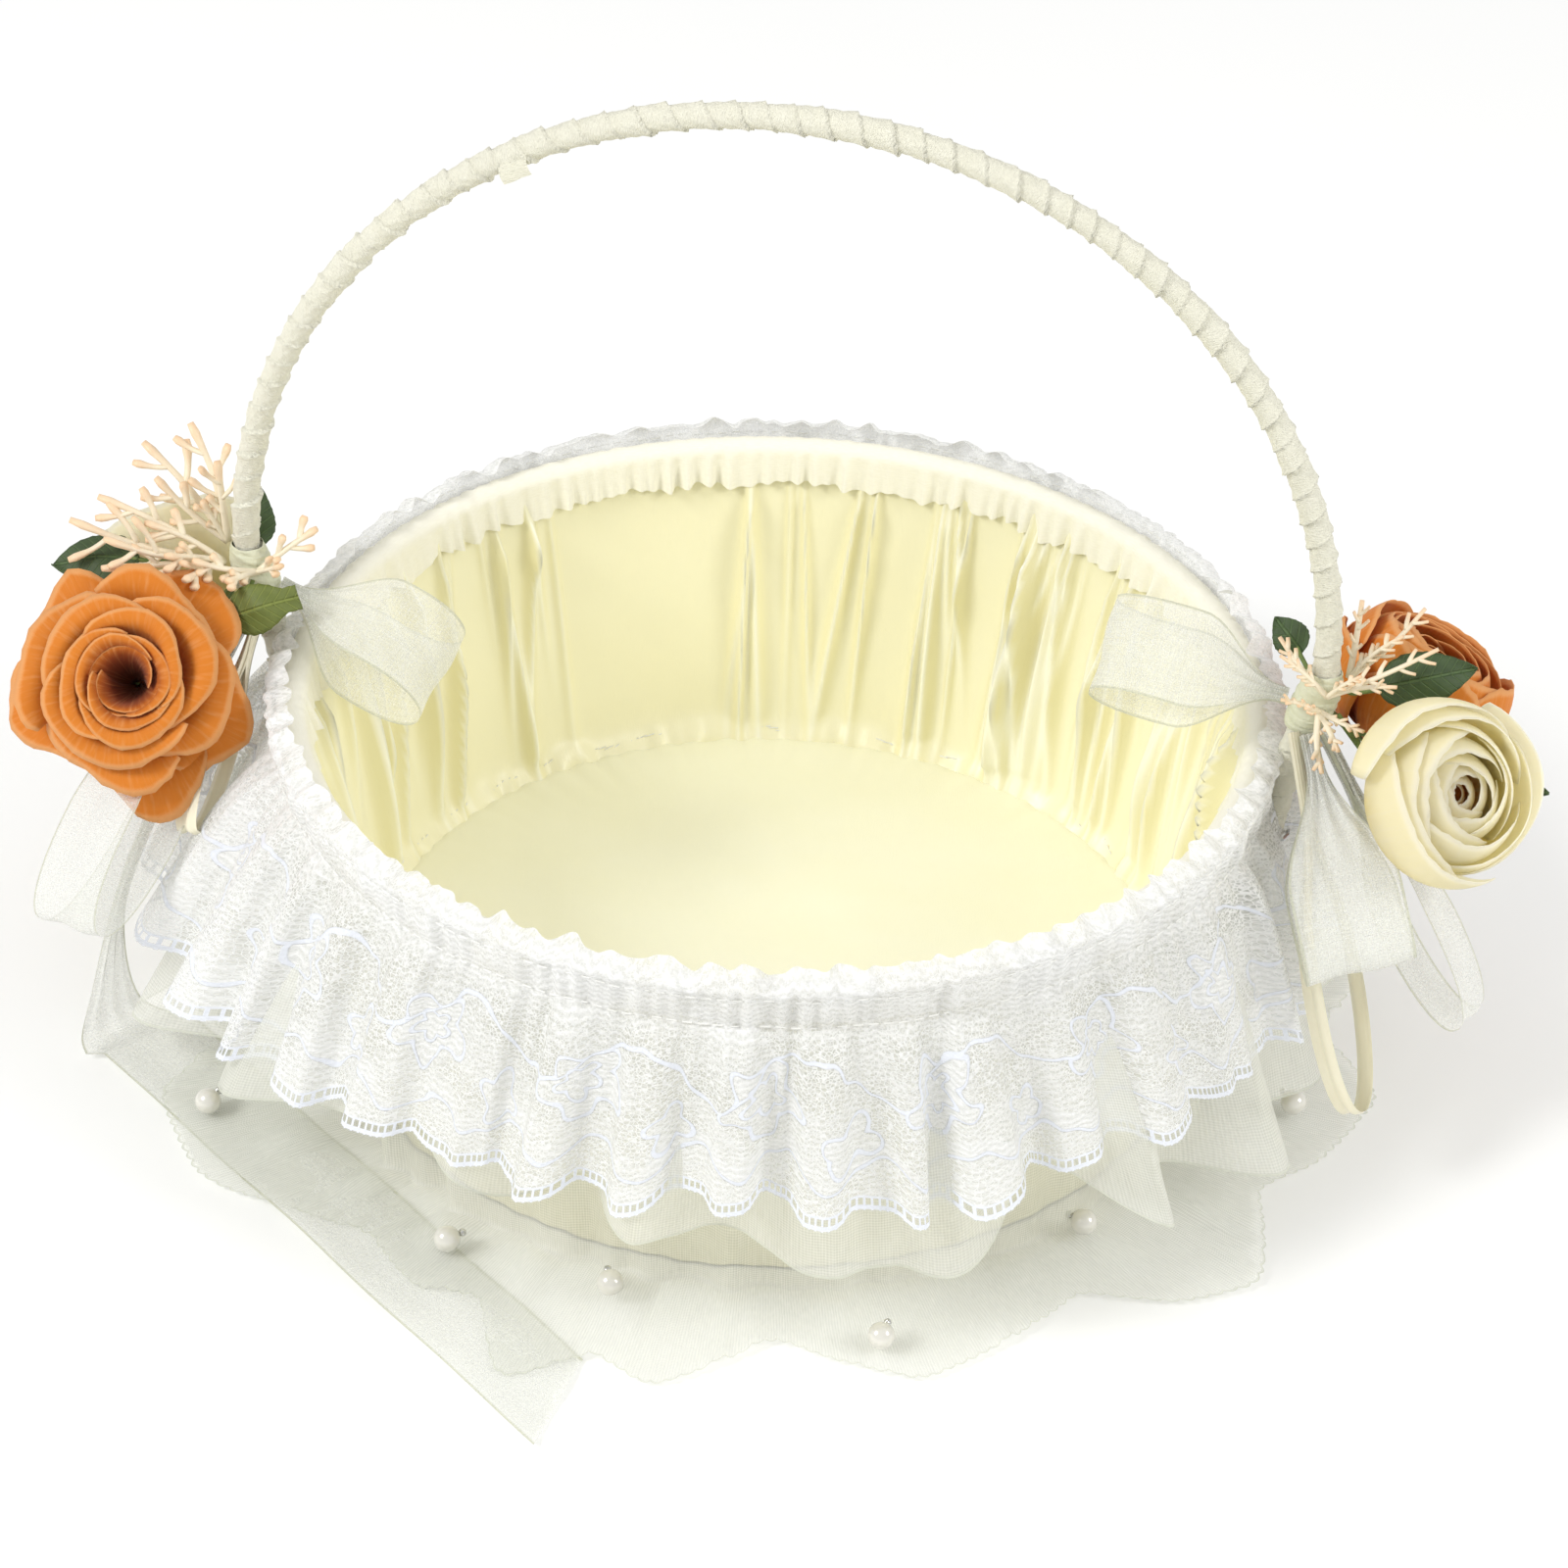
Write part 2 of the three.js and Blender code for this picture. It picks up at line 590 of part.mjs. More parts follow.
// A moulded twig spray: each tip has its own branch, with two short side twigs on it.
function addSprig(name, side, { tips, tape }) {
  const foot = onTape(side, ...tape);
  const rods = tips.flatMap((spot) => {
    const tip = place(side, spot);
    const along = tip.clone().sub(foot);
    const across = new THREE.Vector3().crossVectors(along, UP).normalize();
    const twigs = TWIG_FORKS.map(([share, sign]) => {
      const start = foot.clone().addScaledVector(along, share);
      const end = start.clone().addScaledVector(along, TWIG_REACH);
      end.addScaledVector(across, sign * TWIG_LEAN * along.length());
      return rod(start, end, TWIG_RADIUS, TWIG_TIP_SHARE * TWIG_RADIUS, TWIG_SIDES);
    });
    return [rod(foot, tip, TWIG_FOOT_SHARE * TWIG_RADIUS, TWIG_TIP_SHARE * TWIG_RADIUS), ...twigs];
  });
  addPiece(name, joined(rods), TWIG);
}

// Half of a teardrop below the axis and half above it, from the pinched end round and back to it.
function loopPoints(start, end, halfHeight, pinch) {
  return Array.from({ length: LOOP_POINTS }, (_, i) => {
    const angle = i / LOOP_POINTS * 2 * Math.PI;
    const x = start + (end - start) * (1 - Math.cos(angle)) / 2;
    const swell = Math.abs(Math.sin(angle) * Math.sin(angle / 2));
    const y = pinch + (halfHeight - pinch) * swell;
    return new THREE.Vector2(x, angle < Math.PI ? -y : y);
  });
}

// A ribbon loop: a flat band closed on itself, pinched to a narrow neck where the tape holds it.
function addLoop(name, finish, side, { tip, across, height, width, neck, tape }) {
  const from = onTape(side, ...tape);
  const along = place(side, tip).sub(from);
  const length = along.length();
  const neckLength = neck * length;
  const pinch = NECK_THICKNESS / 2;
  const outline = new THREE.Shape([
    new THREE.Vector2(0, -pinch),
    ...loopPoints(neckLength, length, height / 2, pinch),
    new THREE.Vector2(0, pinch),
  ].reverse());
  const holeStart = neckLength + NECK_SEAM;
  const holeEnd = length - RIBBON_THICKNESS;
  outline.holes.push(new THREE.Path(loopPoints(holeStart, holeEnd, height / 2 - RIBBON_THICKNESS, 0)));
  const band = new THREE.ExtrudeGeometry(outline, { depth: width, bevelEnabled: false });
  band.translate(0, 0, -width / 2);
  const places = band.attributes.position;
  const neckShare = NECK_THICKNESS / width;
  for (let i = 0; i < places.count; i += 1) {
    const spread = neckLength + LOOP_OPENING * (length - neckLength);
    const share = THREE.MathUtils.smoothstep(places.getX(i), neckLength, spread);
    places.setZ(i, places.getZ(i) * (neckShare + (1 - neckShare) * share));
  }
  const lengthways = along.clone().normalize();
  const widthways = vector(across);
  widthways.addScaledVector(lengthways, -widthways.dot(lengthways)).normalize();
  const upwards = new THREE.Vector3().crossVectors(widthways, lengthways);
  band.applyMatrix4(new THREE.Matrix4().makeBasis(lengthways, upwards, widthways).setPosition(from));
  addPiece(name, band, finish);
}

// A spot on the ground by its angle from +X and its distance beyond the petals' hem.
function beyondPetals([degrees, distance]) {
  const angle = THREE.MathUtils.degToRad(degrees);
  return new THREE.Vector2(Math.cos(angle), Math.sin(angle)).multiplyScalar(PETAL_HEM_RADIUS + distance);
}

// A ribbon end that hangs to the ground and lies there: a narrow fall joined to a flat strip.
function addTail(name, side, { landing, end, cutBack, tape }) {
  const from = onTape(side, ...tape);
  const start = beyondPetals(landing);
  const foot = new THREE.Vector3(start.x, start.y, RIBBON_THICKNESS);
  const along = beyondPetals(end).sub(start);
  const strip = new THREE.Shape();
  const half = ORGANZA_WIDTH / 2;
  strip.moveTo(-half / 2, -half);
  strip.lineTo(along.length(), -half);
  strip.lineTo(along.length() - cutBack, half);
  strip.lineTo(-half / 2, half);
  strip.closePath();
  const flat = new THREE.ExtrudeGeometry(strip, { depth: RIBBON_THICKNESS, bevelEnabled: false });
  flat.rotateZ(along.angle()).translate(start.x, start.y, 0);
  addPiece(name, joined([flat, rod(from, foot, NECK_THICKNESS, NECK_THICKNESS, WIRE_SIDES)]), ORGANZA);
}

const CLUSTERS = {
  left: {
    side: -1,
    flowers: {
      orange_rose: {
        finish: ORANGE_SILK, middle: [24.8, -33, 3.8], facing: [0.13, -0.8, 0.58],
        radius: 25.5, tape: [35, 12.8],
      },
      ivory_rose: {
        finish: IVORY_SILK, middle: [29.4, 17, 4.8], facing: [-0.45, 0.6, 0.66],
        radius: 22, tape: [-30, 11.8],
      },
    },
    leaves: {
      front_leaf: {
        foot: [6.8, -15, 11.8], tip: [-9.2, -12, 17.8], width: 11,
        face: [0.13, -0.8, 0.58], tape: [105, 16.8],
      },
      side_leaf: {
        foot: [29.8, -5, 18.8], tip: [49.8, -8, 15.8], width: 13,
        face: [0, -0.5, 0.85], tape: [5, 17.3],
      },
      back_leaf: {
        foot: [6.3, 9, 15.8], tip: [6.8, 17, 26.8], width: 8,
        face: [0, -0.8, 0.58], tape: [-90, 15.8],
      },
    },
    sprigs: {
      back_sprig: { tips: [[21.8, 13, 44.8], [32.8, 12, 38.8]], tape: [-25, 20.8] },
      side_sprig: { tips: [[45.5, -6, 27.3], [34.3, -16, 29.8]], tape: [25, 20.8] },
      front_sprig: { tips: [[-10.8, 0, 28.8], [-5.2, -11, 24.8]], tape: [150, 20.8] },
    },
    loops: {
      organza_loop_upper: {
        finish: ORGANZA, tip: [-41.2, -8, -2.2], across: [0.55, 0.82, 0.15], height: 22, width: ORGANZA_WIDTH,
        neck: 0.2, tape: [165, 13.8],
      },
      organza_loop_lower: {
        finish: ORGANZA, tip: [32.8, -62, -45.2], across: [0.75, -0.1, 0.6], height: 18, width: ORGANZA_WIDTH,
        neck: 0.45, tape: [45, 9.3],
      },
      satin_loop: {
        finish: SATIN, tip: [6.8, -45, -26.2], across: [0.9, 0.1, 0.2], height: 9, width: SATIN_WIDTH,
        neck: 0.3, tape: [100, 9.3],
      },
    },
  },
  right: {
    side: 1,
    flowers: {
      ivory_rose: {
        finish: IVORY_SILK, middle: [36, -20, 7.7], facing: [0.55, -0.62, 0.56],
        radius: 21, tape: [20, 12.8],
      },
      orange_rose: {
        finish: ORANGE_SILK, middle: [27, 24.8, 7.3], facing: [0.45, 0.25, 0.85],
        radius: 21.5, tape: [-45, 9.8],
      },
    },
    leaves: {
      front_leaf: {
        foot: [17.3, -0.3, 19.8], tip: [38.8, 5, 24.8], width: 12,
        face: [0.13, -0.8, 0.58], tape: [0, 17.8],
      },
      side_leaf: {
        foot: [34.8, 5, -3.2], tip: [57.8, 2, -4.2], width: 9,
        face: [0, -0.5, 0.85], tape: [-12, 9.3],
      },
      back_leaf: {
        foot: [-0.2, 9, 20.8], tip: [-7.2, 13, 26.8], width: 8,
        face: [0, -0.8, 0.58], tape: [-120, 18.8],
      },
    },
    sprigs: {
      back_sprig: { tips: [[25.8, 8, 36.8], [11.8, 10, 35.8]], tape: [-25, 21.3] },
      side_sprig: { tips: [[29.8, 0, 31.8], [-4.2, -7, 29.8]], tape: [75, 21.3] },
      front_sprig: { tips: [[7.8, -17, 6.8], [15.8, -12, 15.8]], tape: [80, 15.8] },
    },
    loops: {
      organza_loop_upper: {
        finish: ORGANZA, tip: [-44.2, 3, 20.8], across: [0, 0.87, 0.49], height: 13, width: ORGANZA_WIDTH,
        neck: 0.15, tape: [180, 14.8],
      },
      organza_loop_lower: {
        finish: ORGANZA, tip: [21.8, -42, -27.2], across: [1, 0.2, 0.1], height: 14, width: ORGANZA_WIDTH,
        neck: 0.4, tape: [80, 9.3],
      },
      organza_side_loop: {
        finish: ORGANZA, tip: [45.8, -30, -45.2], across: [0.3, 0.9, 0], height: 16, width: SIDE_LOOP_WIDTH,
        neck: 0.45, tape: [45, 9.3],
      },
      satin_loop: {
        finish: SATIN, tip: [23.8, -50, -60.2], across: [0.9, 0.3, 0], height: 12, width: SATIN_WIDTH,
        neck: 0.45, tape: [110, 9.3],
      },
    },
  },
};

for (const [name, cluster] of Object.entries(CLUSTERS)) {
  const { side, flowers, leaves, sprigs, loops } = cluster;
  const tapeBottom = RIM_HEIGHT + TAPE_ABOVE_RIM;
  const tapeLine = new LegLine(side, tapeBottom, tapeBottom + TAPE_LENGTH);
  addPiece(`${name}_stem_tape`, tube(tapeLine, TAPE_SIDES, TAPE_SIDES, TAPE_RADIUS, TAPE_BORE), TAPE);
  for (const [flower, details] of Object.entries(flowers)) {
    addFlower(`${name}_${flower}`, details.finish, side, details);
  }
  for (const [leaf, details] of Object.entries(leaves)) {
    addLeaf(`${name}_${leaf}`, side, details);
  }
  for (const [sprig, details] of Object.entries(sprigs)) {
    addSprig(`${name}_${sprig}`, side, details);
  }
  for (const [loop, details] of Object.entries(loops)) {
    addLoop(`${name}_${loop}`, details.finish, side, details);
  }
}

addTail('left_organza_tail', -1, {
  landing: [-161.6, 2.5], end: [-94.4, 13.5], cutBack: 16, tape: [72, 8.3],
});

export default basket;
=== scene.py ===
import math
from functools import partialmethod

import bmesh
import bpy
import numpy as np
from mathutils import Matrix, Vector


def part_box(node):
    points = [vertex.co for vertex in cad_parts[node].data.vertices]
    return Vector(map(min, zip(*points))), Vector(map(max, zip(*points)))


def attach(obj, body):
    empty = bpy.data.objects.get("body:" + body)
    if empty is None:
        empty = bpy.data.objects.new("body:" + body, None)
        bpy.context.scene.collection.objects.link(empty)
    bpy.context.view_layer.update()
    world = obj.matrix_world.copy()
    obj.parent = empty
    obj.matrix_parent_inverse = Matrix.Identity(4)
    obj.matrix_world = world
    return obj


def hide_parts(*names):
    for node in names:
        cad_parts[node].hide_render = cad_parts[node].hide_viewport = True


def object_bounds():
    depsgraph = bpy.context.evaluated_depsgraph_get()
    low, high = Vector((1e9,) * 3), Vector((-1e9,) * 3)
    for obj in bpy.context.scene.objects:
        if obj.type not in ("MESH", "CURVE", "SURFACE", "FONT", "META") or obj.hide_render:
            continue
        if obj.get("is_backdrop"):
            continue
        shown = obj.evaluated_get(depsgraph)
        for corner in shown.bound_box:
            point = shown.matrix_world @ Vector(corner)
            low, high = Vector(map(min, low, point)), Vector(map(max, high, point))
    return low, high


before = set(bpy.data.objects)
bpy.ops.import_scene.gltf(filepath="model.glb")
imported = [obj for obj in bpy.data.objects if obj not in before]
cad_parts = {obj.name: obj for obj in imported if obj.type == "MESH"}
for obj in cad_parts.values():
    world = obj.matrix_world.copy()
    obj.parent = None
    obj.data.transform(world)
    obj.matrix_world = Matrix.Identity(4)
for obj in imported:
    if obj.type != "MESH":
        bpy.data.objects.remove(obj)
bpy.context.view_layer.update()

# The studio: a plain pale floor, one large soft lamp at the front left, a weaker one at the right,
# and even light from all round. The basket stands on the floor, on its flat underside.

MM = 0.001
scene = bpy.context.scene

CAMERA_TURN = math.radians(9.35)
CAMERA_HEIGHT = math.radians(35.47)
CAMERA_ROLL = math.radians(1.61)
CAMERA_DISTANCE = 1.2
CAMERA_LENS = 119.3
WATCHED_HEIGHT = 0.050
AIM_SIDEWAYS = 0.0023
AIM_UPWARDS = 0.00916
SENSOR_WIDTH = 36
WORLD_STRENGTH = 0.72

towards_camera = Vector((
    math.sin(CAMERA_TURN) * math.cos(CAMERA_HEIGHT),
    -math.cos(CAMERA_TURN) * math.cos(CAMERA_HEIGHT),
    math.sin(CAMERA_HEIGHT),
))
sideways = Vector((math.cos(CAMERA_TURN), math.sin(CAMERA_TURN), 0))
upwards = towards_camera.cross(sideways)
middle = Vector((0, 0, WATCHED_HEIGHT))
eye = middle + towards_camera * CAMERA_DISTANCE
aim = middle + sideways * AIM_SIDEWAYS + upwards * AIM_UPWARDS
back = (eye - aim).normalized()
level_right = upwards.cross(back).normalized()
level_up = back.cross(level_right)
right = level_right * math.cos(CAMERA_ROLL) + level_up * math.sin(CAMERA_ROLL)
up = back.cross(right)

camera = bpy.data.objects.new("camera", bpy.data.cameras.new("camera"))
camera.data.lens = CAMERA_LENS
camera.data.sensor_width = SENSOR_WIDTH
camera.data.clip_start = 0.01
turned = Matrix((right, up, back)).transposed().to_4x4()
camera.matrix_world = Matrix.Translation(eye) @ turned
scene.collection.objects.link(camera)
scene.camera = camera
scene.view_settings.view_transform = "Standard"
scene.cycles.transparent_max_bounces = 32

world = bpy.data.worlds.new("studio")
world.use_nodes = True
sky = world.node_tree.nodes["Background"].inputs
sky["Color"].default_value = (1, 1, 1, 1)
sky["Strength"].default_value = WORLD_STRENGTH
scene.world = world


def lamp(name, place, size, power):
    """A square soft lamp that looks at the middle of the basket."""
    light = bpy.data.lights.new(name, "AREA")
    light.size = size
    light.energy = power
    fitting = bpy.data.objects.new(name, light)
    turn = (Vector(place) - middle).to_track_quat("Z", "Y").to_matrix().to_4x4()
    fitting.matrix_world = Matrix.Translation(place) @ turn
    scene.collection.objects.link(fitting)


lamp("front_left_lamp", (-1.2, -0.9, 1.3), 0.6, 19)
lamp("right_lamp", (1.3, -0.3, 0.9), 0.5, 8)


class Amount:
    """A value in a finish's nodes, so that a pattern is written as a sum of other values."""

    def __init__(self, finish, socket):
        self.finish = finish
        self.socket = socket

    def joined(self, operation, other=0.0):
        return self.finish.maths(operation, self, other)

    def __rsub__(self, other):
        return self.finish.maths("SUBTRACT", other, self)

    def step(self, start, end):
        """0 before start and 1 past end, with a smooth change between."""
        return self.finish.node(
            "ShaderNodeMapRange", {"interpolation_type": "SMOOTHSTEP"},
            {"Value": self, "From Min": start, "From Max": end},
        )

    __add__ = __radd__ = partialmethod(joined, "ADD")
    __sub__ = partialmethod(joined, "SUBTRACT")
    __mul__ = partialmethod(joined, "MULTIPLY")
    __truediv__ = partialmethod(joined, "DIVIDE")
    __pow__ = partialmethod(joined, "POWER")
    __mod__ = partialmethod(joined, "FLOORED_MODULO")
    __abs__ = partialmethod(joined, "ABSOLUTE")
    sine = partialmethod(joined, "SINE")
    most = partialmethod(joined, "MAXIMUM")


class Finish:
    """A material under construction: every node in it comes from the method called node."""

    def __init__(self, name):
        self.material = bpy.data.materials.new(name)
        self.material.use_nodes = True
        self.tree = self.material.node_tree
        self.tree.nodes.clear()

    def node(self, kind, settings=None, sockets=None, output=0):
        made = self.tree.nodes.new(kind)
        for key, value in (settings or {}).items():
            setattr(made, key, value)
        for key, value in (sockets or {}).items():
            if isinstance(value, Amount):
                self.tree.links.new(value.socket, made.inputs[key])
            else:
                made.inputs[key].default_value = value
        return Amount(self, made.outputs[output]) if made.outputs else None

    def maths(self, operation, first, second):
        return self.node("ShaderNodeMath", {"operation": operation}, {0: first, 1: second})

    def measures(self, layer):
        """The two measures that a mesh keeps under this name."""
        kept = self.node("ShaderNodeUVMap", {"uv_map": layer})
        parts = self.tree.nodes.new("ShaderNodeSeparateXYZ")
        self.tree.links.new(kept.socket, parts.inputs[0])
        return Amount(self, parts.outputs[0]), Amount(self, parts.outputs[1])

    def along_cloth(self):
        """The two distances along the cloth, in millimetres."""
        return self.measures("cloth")

    def place_at(self, across, down, depth=0.0):
        return self.node("ShaderNodeCombineXYZ", {}, {0: across, 1: down, 2: depth})

    def solid_place(self):
        return self.node("ShaderNodeTexCoord", {}, {}, 3)

    def cells(self, scale):
        return self.node("ShaderNodeTexVoronoi", {}, {"Vector": self.solid_place(), "Scale": scale})

    def noise(self, place, scale, detail=2.0, roughness=0.5):
        return self.node(
            "ShaderNodeTexNoise", {},
            {"Vector": place, "Scale": scale, "Detail": detail, "Roughness": roughness},
        )

    def solid_grain(self, scale, detail=2.0, roughness=0.5):
        """Noise all through the solid."""
        return self.noise(self.solid_place(), scale, detail, roughness)

    def grain(self, across, down, depth=0.0, detail=2.0):
        """Noise over the cloth, at the scale that the two distances bring."""
        return self.noise(self.place_at(across, down, depth), 1.0, detail)

    def blend(self, share, first, second):
        """A colour between two others."""
        ends = {
            key: colour if isinstance(colour, Amount) else (*colour, 1)
            for key, colour in ((6, first), (7, second))
        }
        return self.node("ShaderNodeMix", {"data_type": "RGBA"}, {0: share, **ends}, 2)

    def surface(self, colour, roughness, alpha=None, height=None, relief=0.0, glow=0.0, **fixed):
        """The shader: fixed holds settings that are the same all over, under their socket names."""
        sockets = {name.replace("_", " "): value for name, value in fixed.items()}
        sockets["Base Color"] = colour if isinstance(colour, Amount) else (*colour, 1)
        sockets["Roughness"] = roughness
        if height is not None:
            sockets["Normal"] = self.node("ShaderNodeBump", {}, {"Height": height, "Distance": relief * MM})
        shader = self.node("ShaderNodeBsdfPrincipled", {}, sockets)
        if glow:
            through = self.node("ShaderNodeBsdfTranslucent", {}, {"Color": sockets["Base Color"]})
            shader = self.node("ShaderNodeMixShader", {}, {0: glow, 1: shader, 2: through})
        if alpha is not None:
            clear = self.node("ShaderNodeBsdfTransparent")
            shader = self.node("ShaderNodeMixShader", {}, {0: alpha, 1: clear, 2: shader})
        self.node("ShaderNodeOutputMaterial", {}, {"Surface": shader})
        return self.material


def grained_finish(name, scale, detail, dark, light, roughness, change=0.0, relief=0.0, **fixed):
    """A finish with one grain, which changes its colour and, where asked, its shine and height."""
    finish = Finish(name)
    grain = finish.solid_grain(scale, detail)
    return finish.surface(
        finish.blend(grain, dark, light), roughness + grain * change if change else roughness,
        height=grain if relief else None, relief=relief, **fixed,
    )


FLOOR_HALF_SIDE = 6.0
FLOOR_DROP = 0.0002
floor_mesh = bpy.data.meshes.new("studio_floor")
floor_mesh.from_pydata(
    [(x * FLOOR_HALF_SIDE, y * FLOOR_HALF_SIDE, 0) for x, y in ((-1, -1), (1, -1), (1, 1), (-1, 1))],
    [], [(0, 1, 2, 3)],
)
floor_mesh.materials.append(grained_finish(
    "studio_floor", 3.0, 2.0, (0.93, 0.93, 0.92), (0.96, 0.96, 0.95), 0.9, Specular_IOR_Level=0.0,
))
floor = bpy.data.objects.new("studio_floor", floor_mesh)
floor.location.z = -FLOOR_DROP
scene.collection.objects.link(floor)
floor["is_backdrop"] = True


# The tub's hidden parts: a wall and a base of thick grey-brown board, a steel wire hoop that keeps the
# rim round, a cut foam disc for the floor and wire staples. They keep their shapes from the frame.

def board_finish():
    finish = Finish("pressed_board")
    fibres = finish.solid_grain(900.0, 4.0, 0.65)
    plain = finish.blend(fibres, (0.42, 0.32, 0.21), (0.66, 0.55, 0.40))
    colour = finish.blend(finish.solid_grain(60.0) * 0.4, plain, (0.72, 0.63, 0.49))
    return finish.surface(colour, 0.85 + fibres * 0.1, height=fibres, relief=0.15)


def steel_finish():
    finish = Finish("drawn_steel_wire")
    scratches = finish.solid_grain(1400.0, 3.0, 0.6)
    colour = finish.blend(scratches, (0.52, 0.53, 0.55), (0.74, 0.75, 0.77))
    return finish.surface(colour, 0.25 + scratches * 0.2, height=scratches, relief=0.03, Metallic=1.0)


def foam_finish():
    finish = Finish("cut_foam")
    cells = finish.cells(1500.0)
    colour = finish.blend(cells, (0.78, 0.74, 0.62), (0.93, 0.91, 0.84))
    return finish.surface(colour, 0.95, height=cells, relief=0.3)


def dress(node, finish):
    """Gives a part that keeps its own shape its finish."""
    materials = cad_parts[node].data.materials
    materials.clear()
    materials.append(finish)


board = board_finish()
steel = steel_finish()
dress("base_board", board)
dress("tub_wall", board)
dress("rim_hoop", steel)
dress("floor_pad_foam", foam_finish())
for side_name in ("left", "right"):
    for level in ("upper", "lower"):
        dress(f"{side_name}_{level}_staple", steel)


# The outer cover: ivory satin drawn tight over the outside of the board wall and glued underneath.
# It shows as soft yellow through the sheer skirts, with a few upright creases where it was pulled.

WALL_LEAN = 0.155
TURN = 2 * np.pi


def box_corners(node):
    """The low and the high corner of a part's box, in millimetres."""
    return [np.array(corner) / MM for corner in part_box(node)]


rim_radius, _, wall_top = box_corners("tub_wall")[1]


def wall_radius(height):
    """The outside of the board wall, in millimetres."""
    return rim_radius - WALL_LEAN * (wall_top - height)


def angles_round(count):
    return np.linspace(0, TURN, count, endpoint=False)[None, :]


def shares_down(count):
    return np.linspace(0, 1, count)[:, None]


def round_points(angle, radius, height):
    angle, radius, height = np.broadcast_arrays(angle, radius, height)
    return np.stack([radius * np.cos(angle), radius * np.sin(angle), height], -1)


def new_piece(name, points, faces, layers, finish):
    """A mesh from points in millimetres, with named pairs of measures at the corners of its faces."""
    mesh = bpy.data.meshes.new(name)
    mesh.from_pydata((points.reshape(-1, 3) * MM).tolist(), [], faces.tolist())
    for layer, measures in layers.items():
        mesh.uv_layers.new(name=layer).data.foreach_set("uv", measures.ravel())
    mesh.materials.append(finish)
    piece = bpy.data.objects.new(name, mesh)
    scene.collection.objects.link(piece)
    return piece


def sheet_mesh(name, points, cloth, finish, around=False, inward=False, tone=None):
    """A smooth sheet from rows of points. cloth holds each point's place on the flat cloth."""
    rows, columns = points.shape[:2]
    steps = columns if around else columns - 1
    i, j = np.meshgrid(np.arange(rows - 1), np.arange(steps), indexing="ij")
    following = (j + 1) % columns
    corners = [(i, j, j), (i + 1, j, j), (i + 1, following, j + 1), (i, following, j + 1)]
    if inward:
        corners.reverse()
    faces = np.stack([row * columns + column for row, column, _ in corners], -1).reshape(-1, 4)
    layers = {"cloth": np.stack([cloth[row, column] for row, _, column in corners], 2)}
    if tone is not None:
        layers["tone"] = np.repeat(np.stack([tone[row, column] for row, column, _ in corners], 2), 2)
    piece = new_piece(name, points, faces, layers, finish)
    piece.data.shade_smooth()
    return piece


def cloth_places(rows, columns, length, width):
    """Even places on a flat strip of cloth, with one more column than a round strip has points."""
    across, down = np.meshgrid(np.linspace(0, length, columns + 1), np.linspace(0, width, rows))
    return np.stack([across, down], -1)


def round_sheet(name, angle, radius, height, length, width, finish, **more):
    """A sheet once round the basket, cut from a strip of this length and width."""
    points = round_points(angle, radius, height)
    cloth = cloth_places(*points.shape[:2], length, width)
    return sheet_mesh(name, points, cloth, finish, around=True, **more)


def fit(piece, slot, *nodes):
    """Fixes a piece to the basket, in the place of the named CAD nodes if there are any."""
    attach(piece, "root")
    if nodes:
        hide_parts(*nodes)


def waves(angle, seed, slowest, fastest, count):
    """A smooth uneven ripple round the basket, about 1 high, from a few sines."""
    chance = np.random.default_rng(seed)
    total = np.zeros_like(angle)
    for turns in chance.integers(slowest, fastest, count):
        total = total + np.sin(turns * angle + chance.uniform(0, TURN)) / count ** 0.5
    return total


def satin_finish(name, deep, light, roughness, folded=False):
    """Satin: smooth floats of thread that run down the cloth, with a soft bright sheen, part of it from the
    shader and part painted into the colour.
    """
    finish = Finish(name)
    across, down = finish.along_cloth()
    threads = finish.grain(across * 5.0, down * 0.35)
    # Painted sheen: the colour is lighter in soft cloudy patches and along the threads.
    shine = finish.grain(across * 0.03, down * 0.05) * 0.7 + threads * 0.3
    # On folded cloth the tone measure paints a highlight on each gather's ridge and shade down its sides.
    if folded:
        shine = shine * 0.2 + finish.measures("tone")[0] * 0.8
    colour = finish.blend(shine, deep, light)
    return finish.surface(
        colour, roughness + threads * 0.12, height=threads, relief=0.05,
        Sheen_Weight=0.25, Sheen_Roughness=0.4, Specular_IOR_Level=0.6,
    )


COVER_COLUMNS = 480
COVER_ROWS = 24
COVER_STAND = 0.9
COVER_TOP_HEIGHT = 79.5
COVER_FOOT_HEIGHT = 0.4
cover_satin = satin_finish("cover_satin", (0.88, 0.82, 0.56), (0.93, 0.90, 0.70), 0.38)
angle = angles_round(COVER_COLUMNS)
height = np.linspace(COVER_TOP_HEIGHT, COVER_FOOT_HEIGHT, COVER_ROWS)[:, None]
creases = waves(angle, 3, 20, 90, 9) * 0.25
cover = round_sheet(
    "outer_satin", angle, wall_radius(height) + COVER_STAND + creases, height, 690, 80, cover_satin,
)
fit(cover, "satin", "satin_wall_cover")


# The lining: ivory satin cut about a third longer than the wall, gathered under the rim band and caught
# in a rough seam at the floor. The gathers are sharp, and they open out as they fall.

LINING_COLUMNS = 1080
LINING_ROWS = 64
LINING_FACE = 3.1
LINING_ABOVE_WALL = 1.0
LINING_FOOT_HEIGHT = 8.2
FOLD_COUNT = 150
SMOOTH_PATCH = (math.radians(104), math.radians(131))
PATCH_SHRINK = 0.35
PATCH_SHIFT = math.radians(20)
RIM_GRIP = 0.16


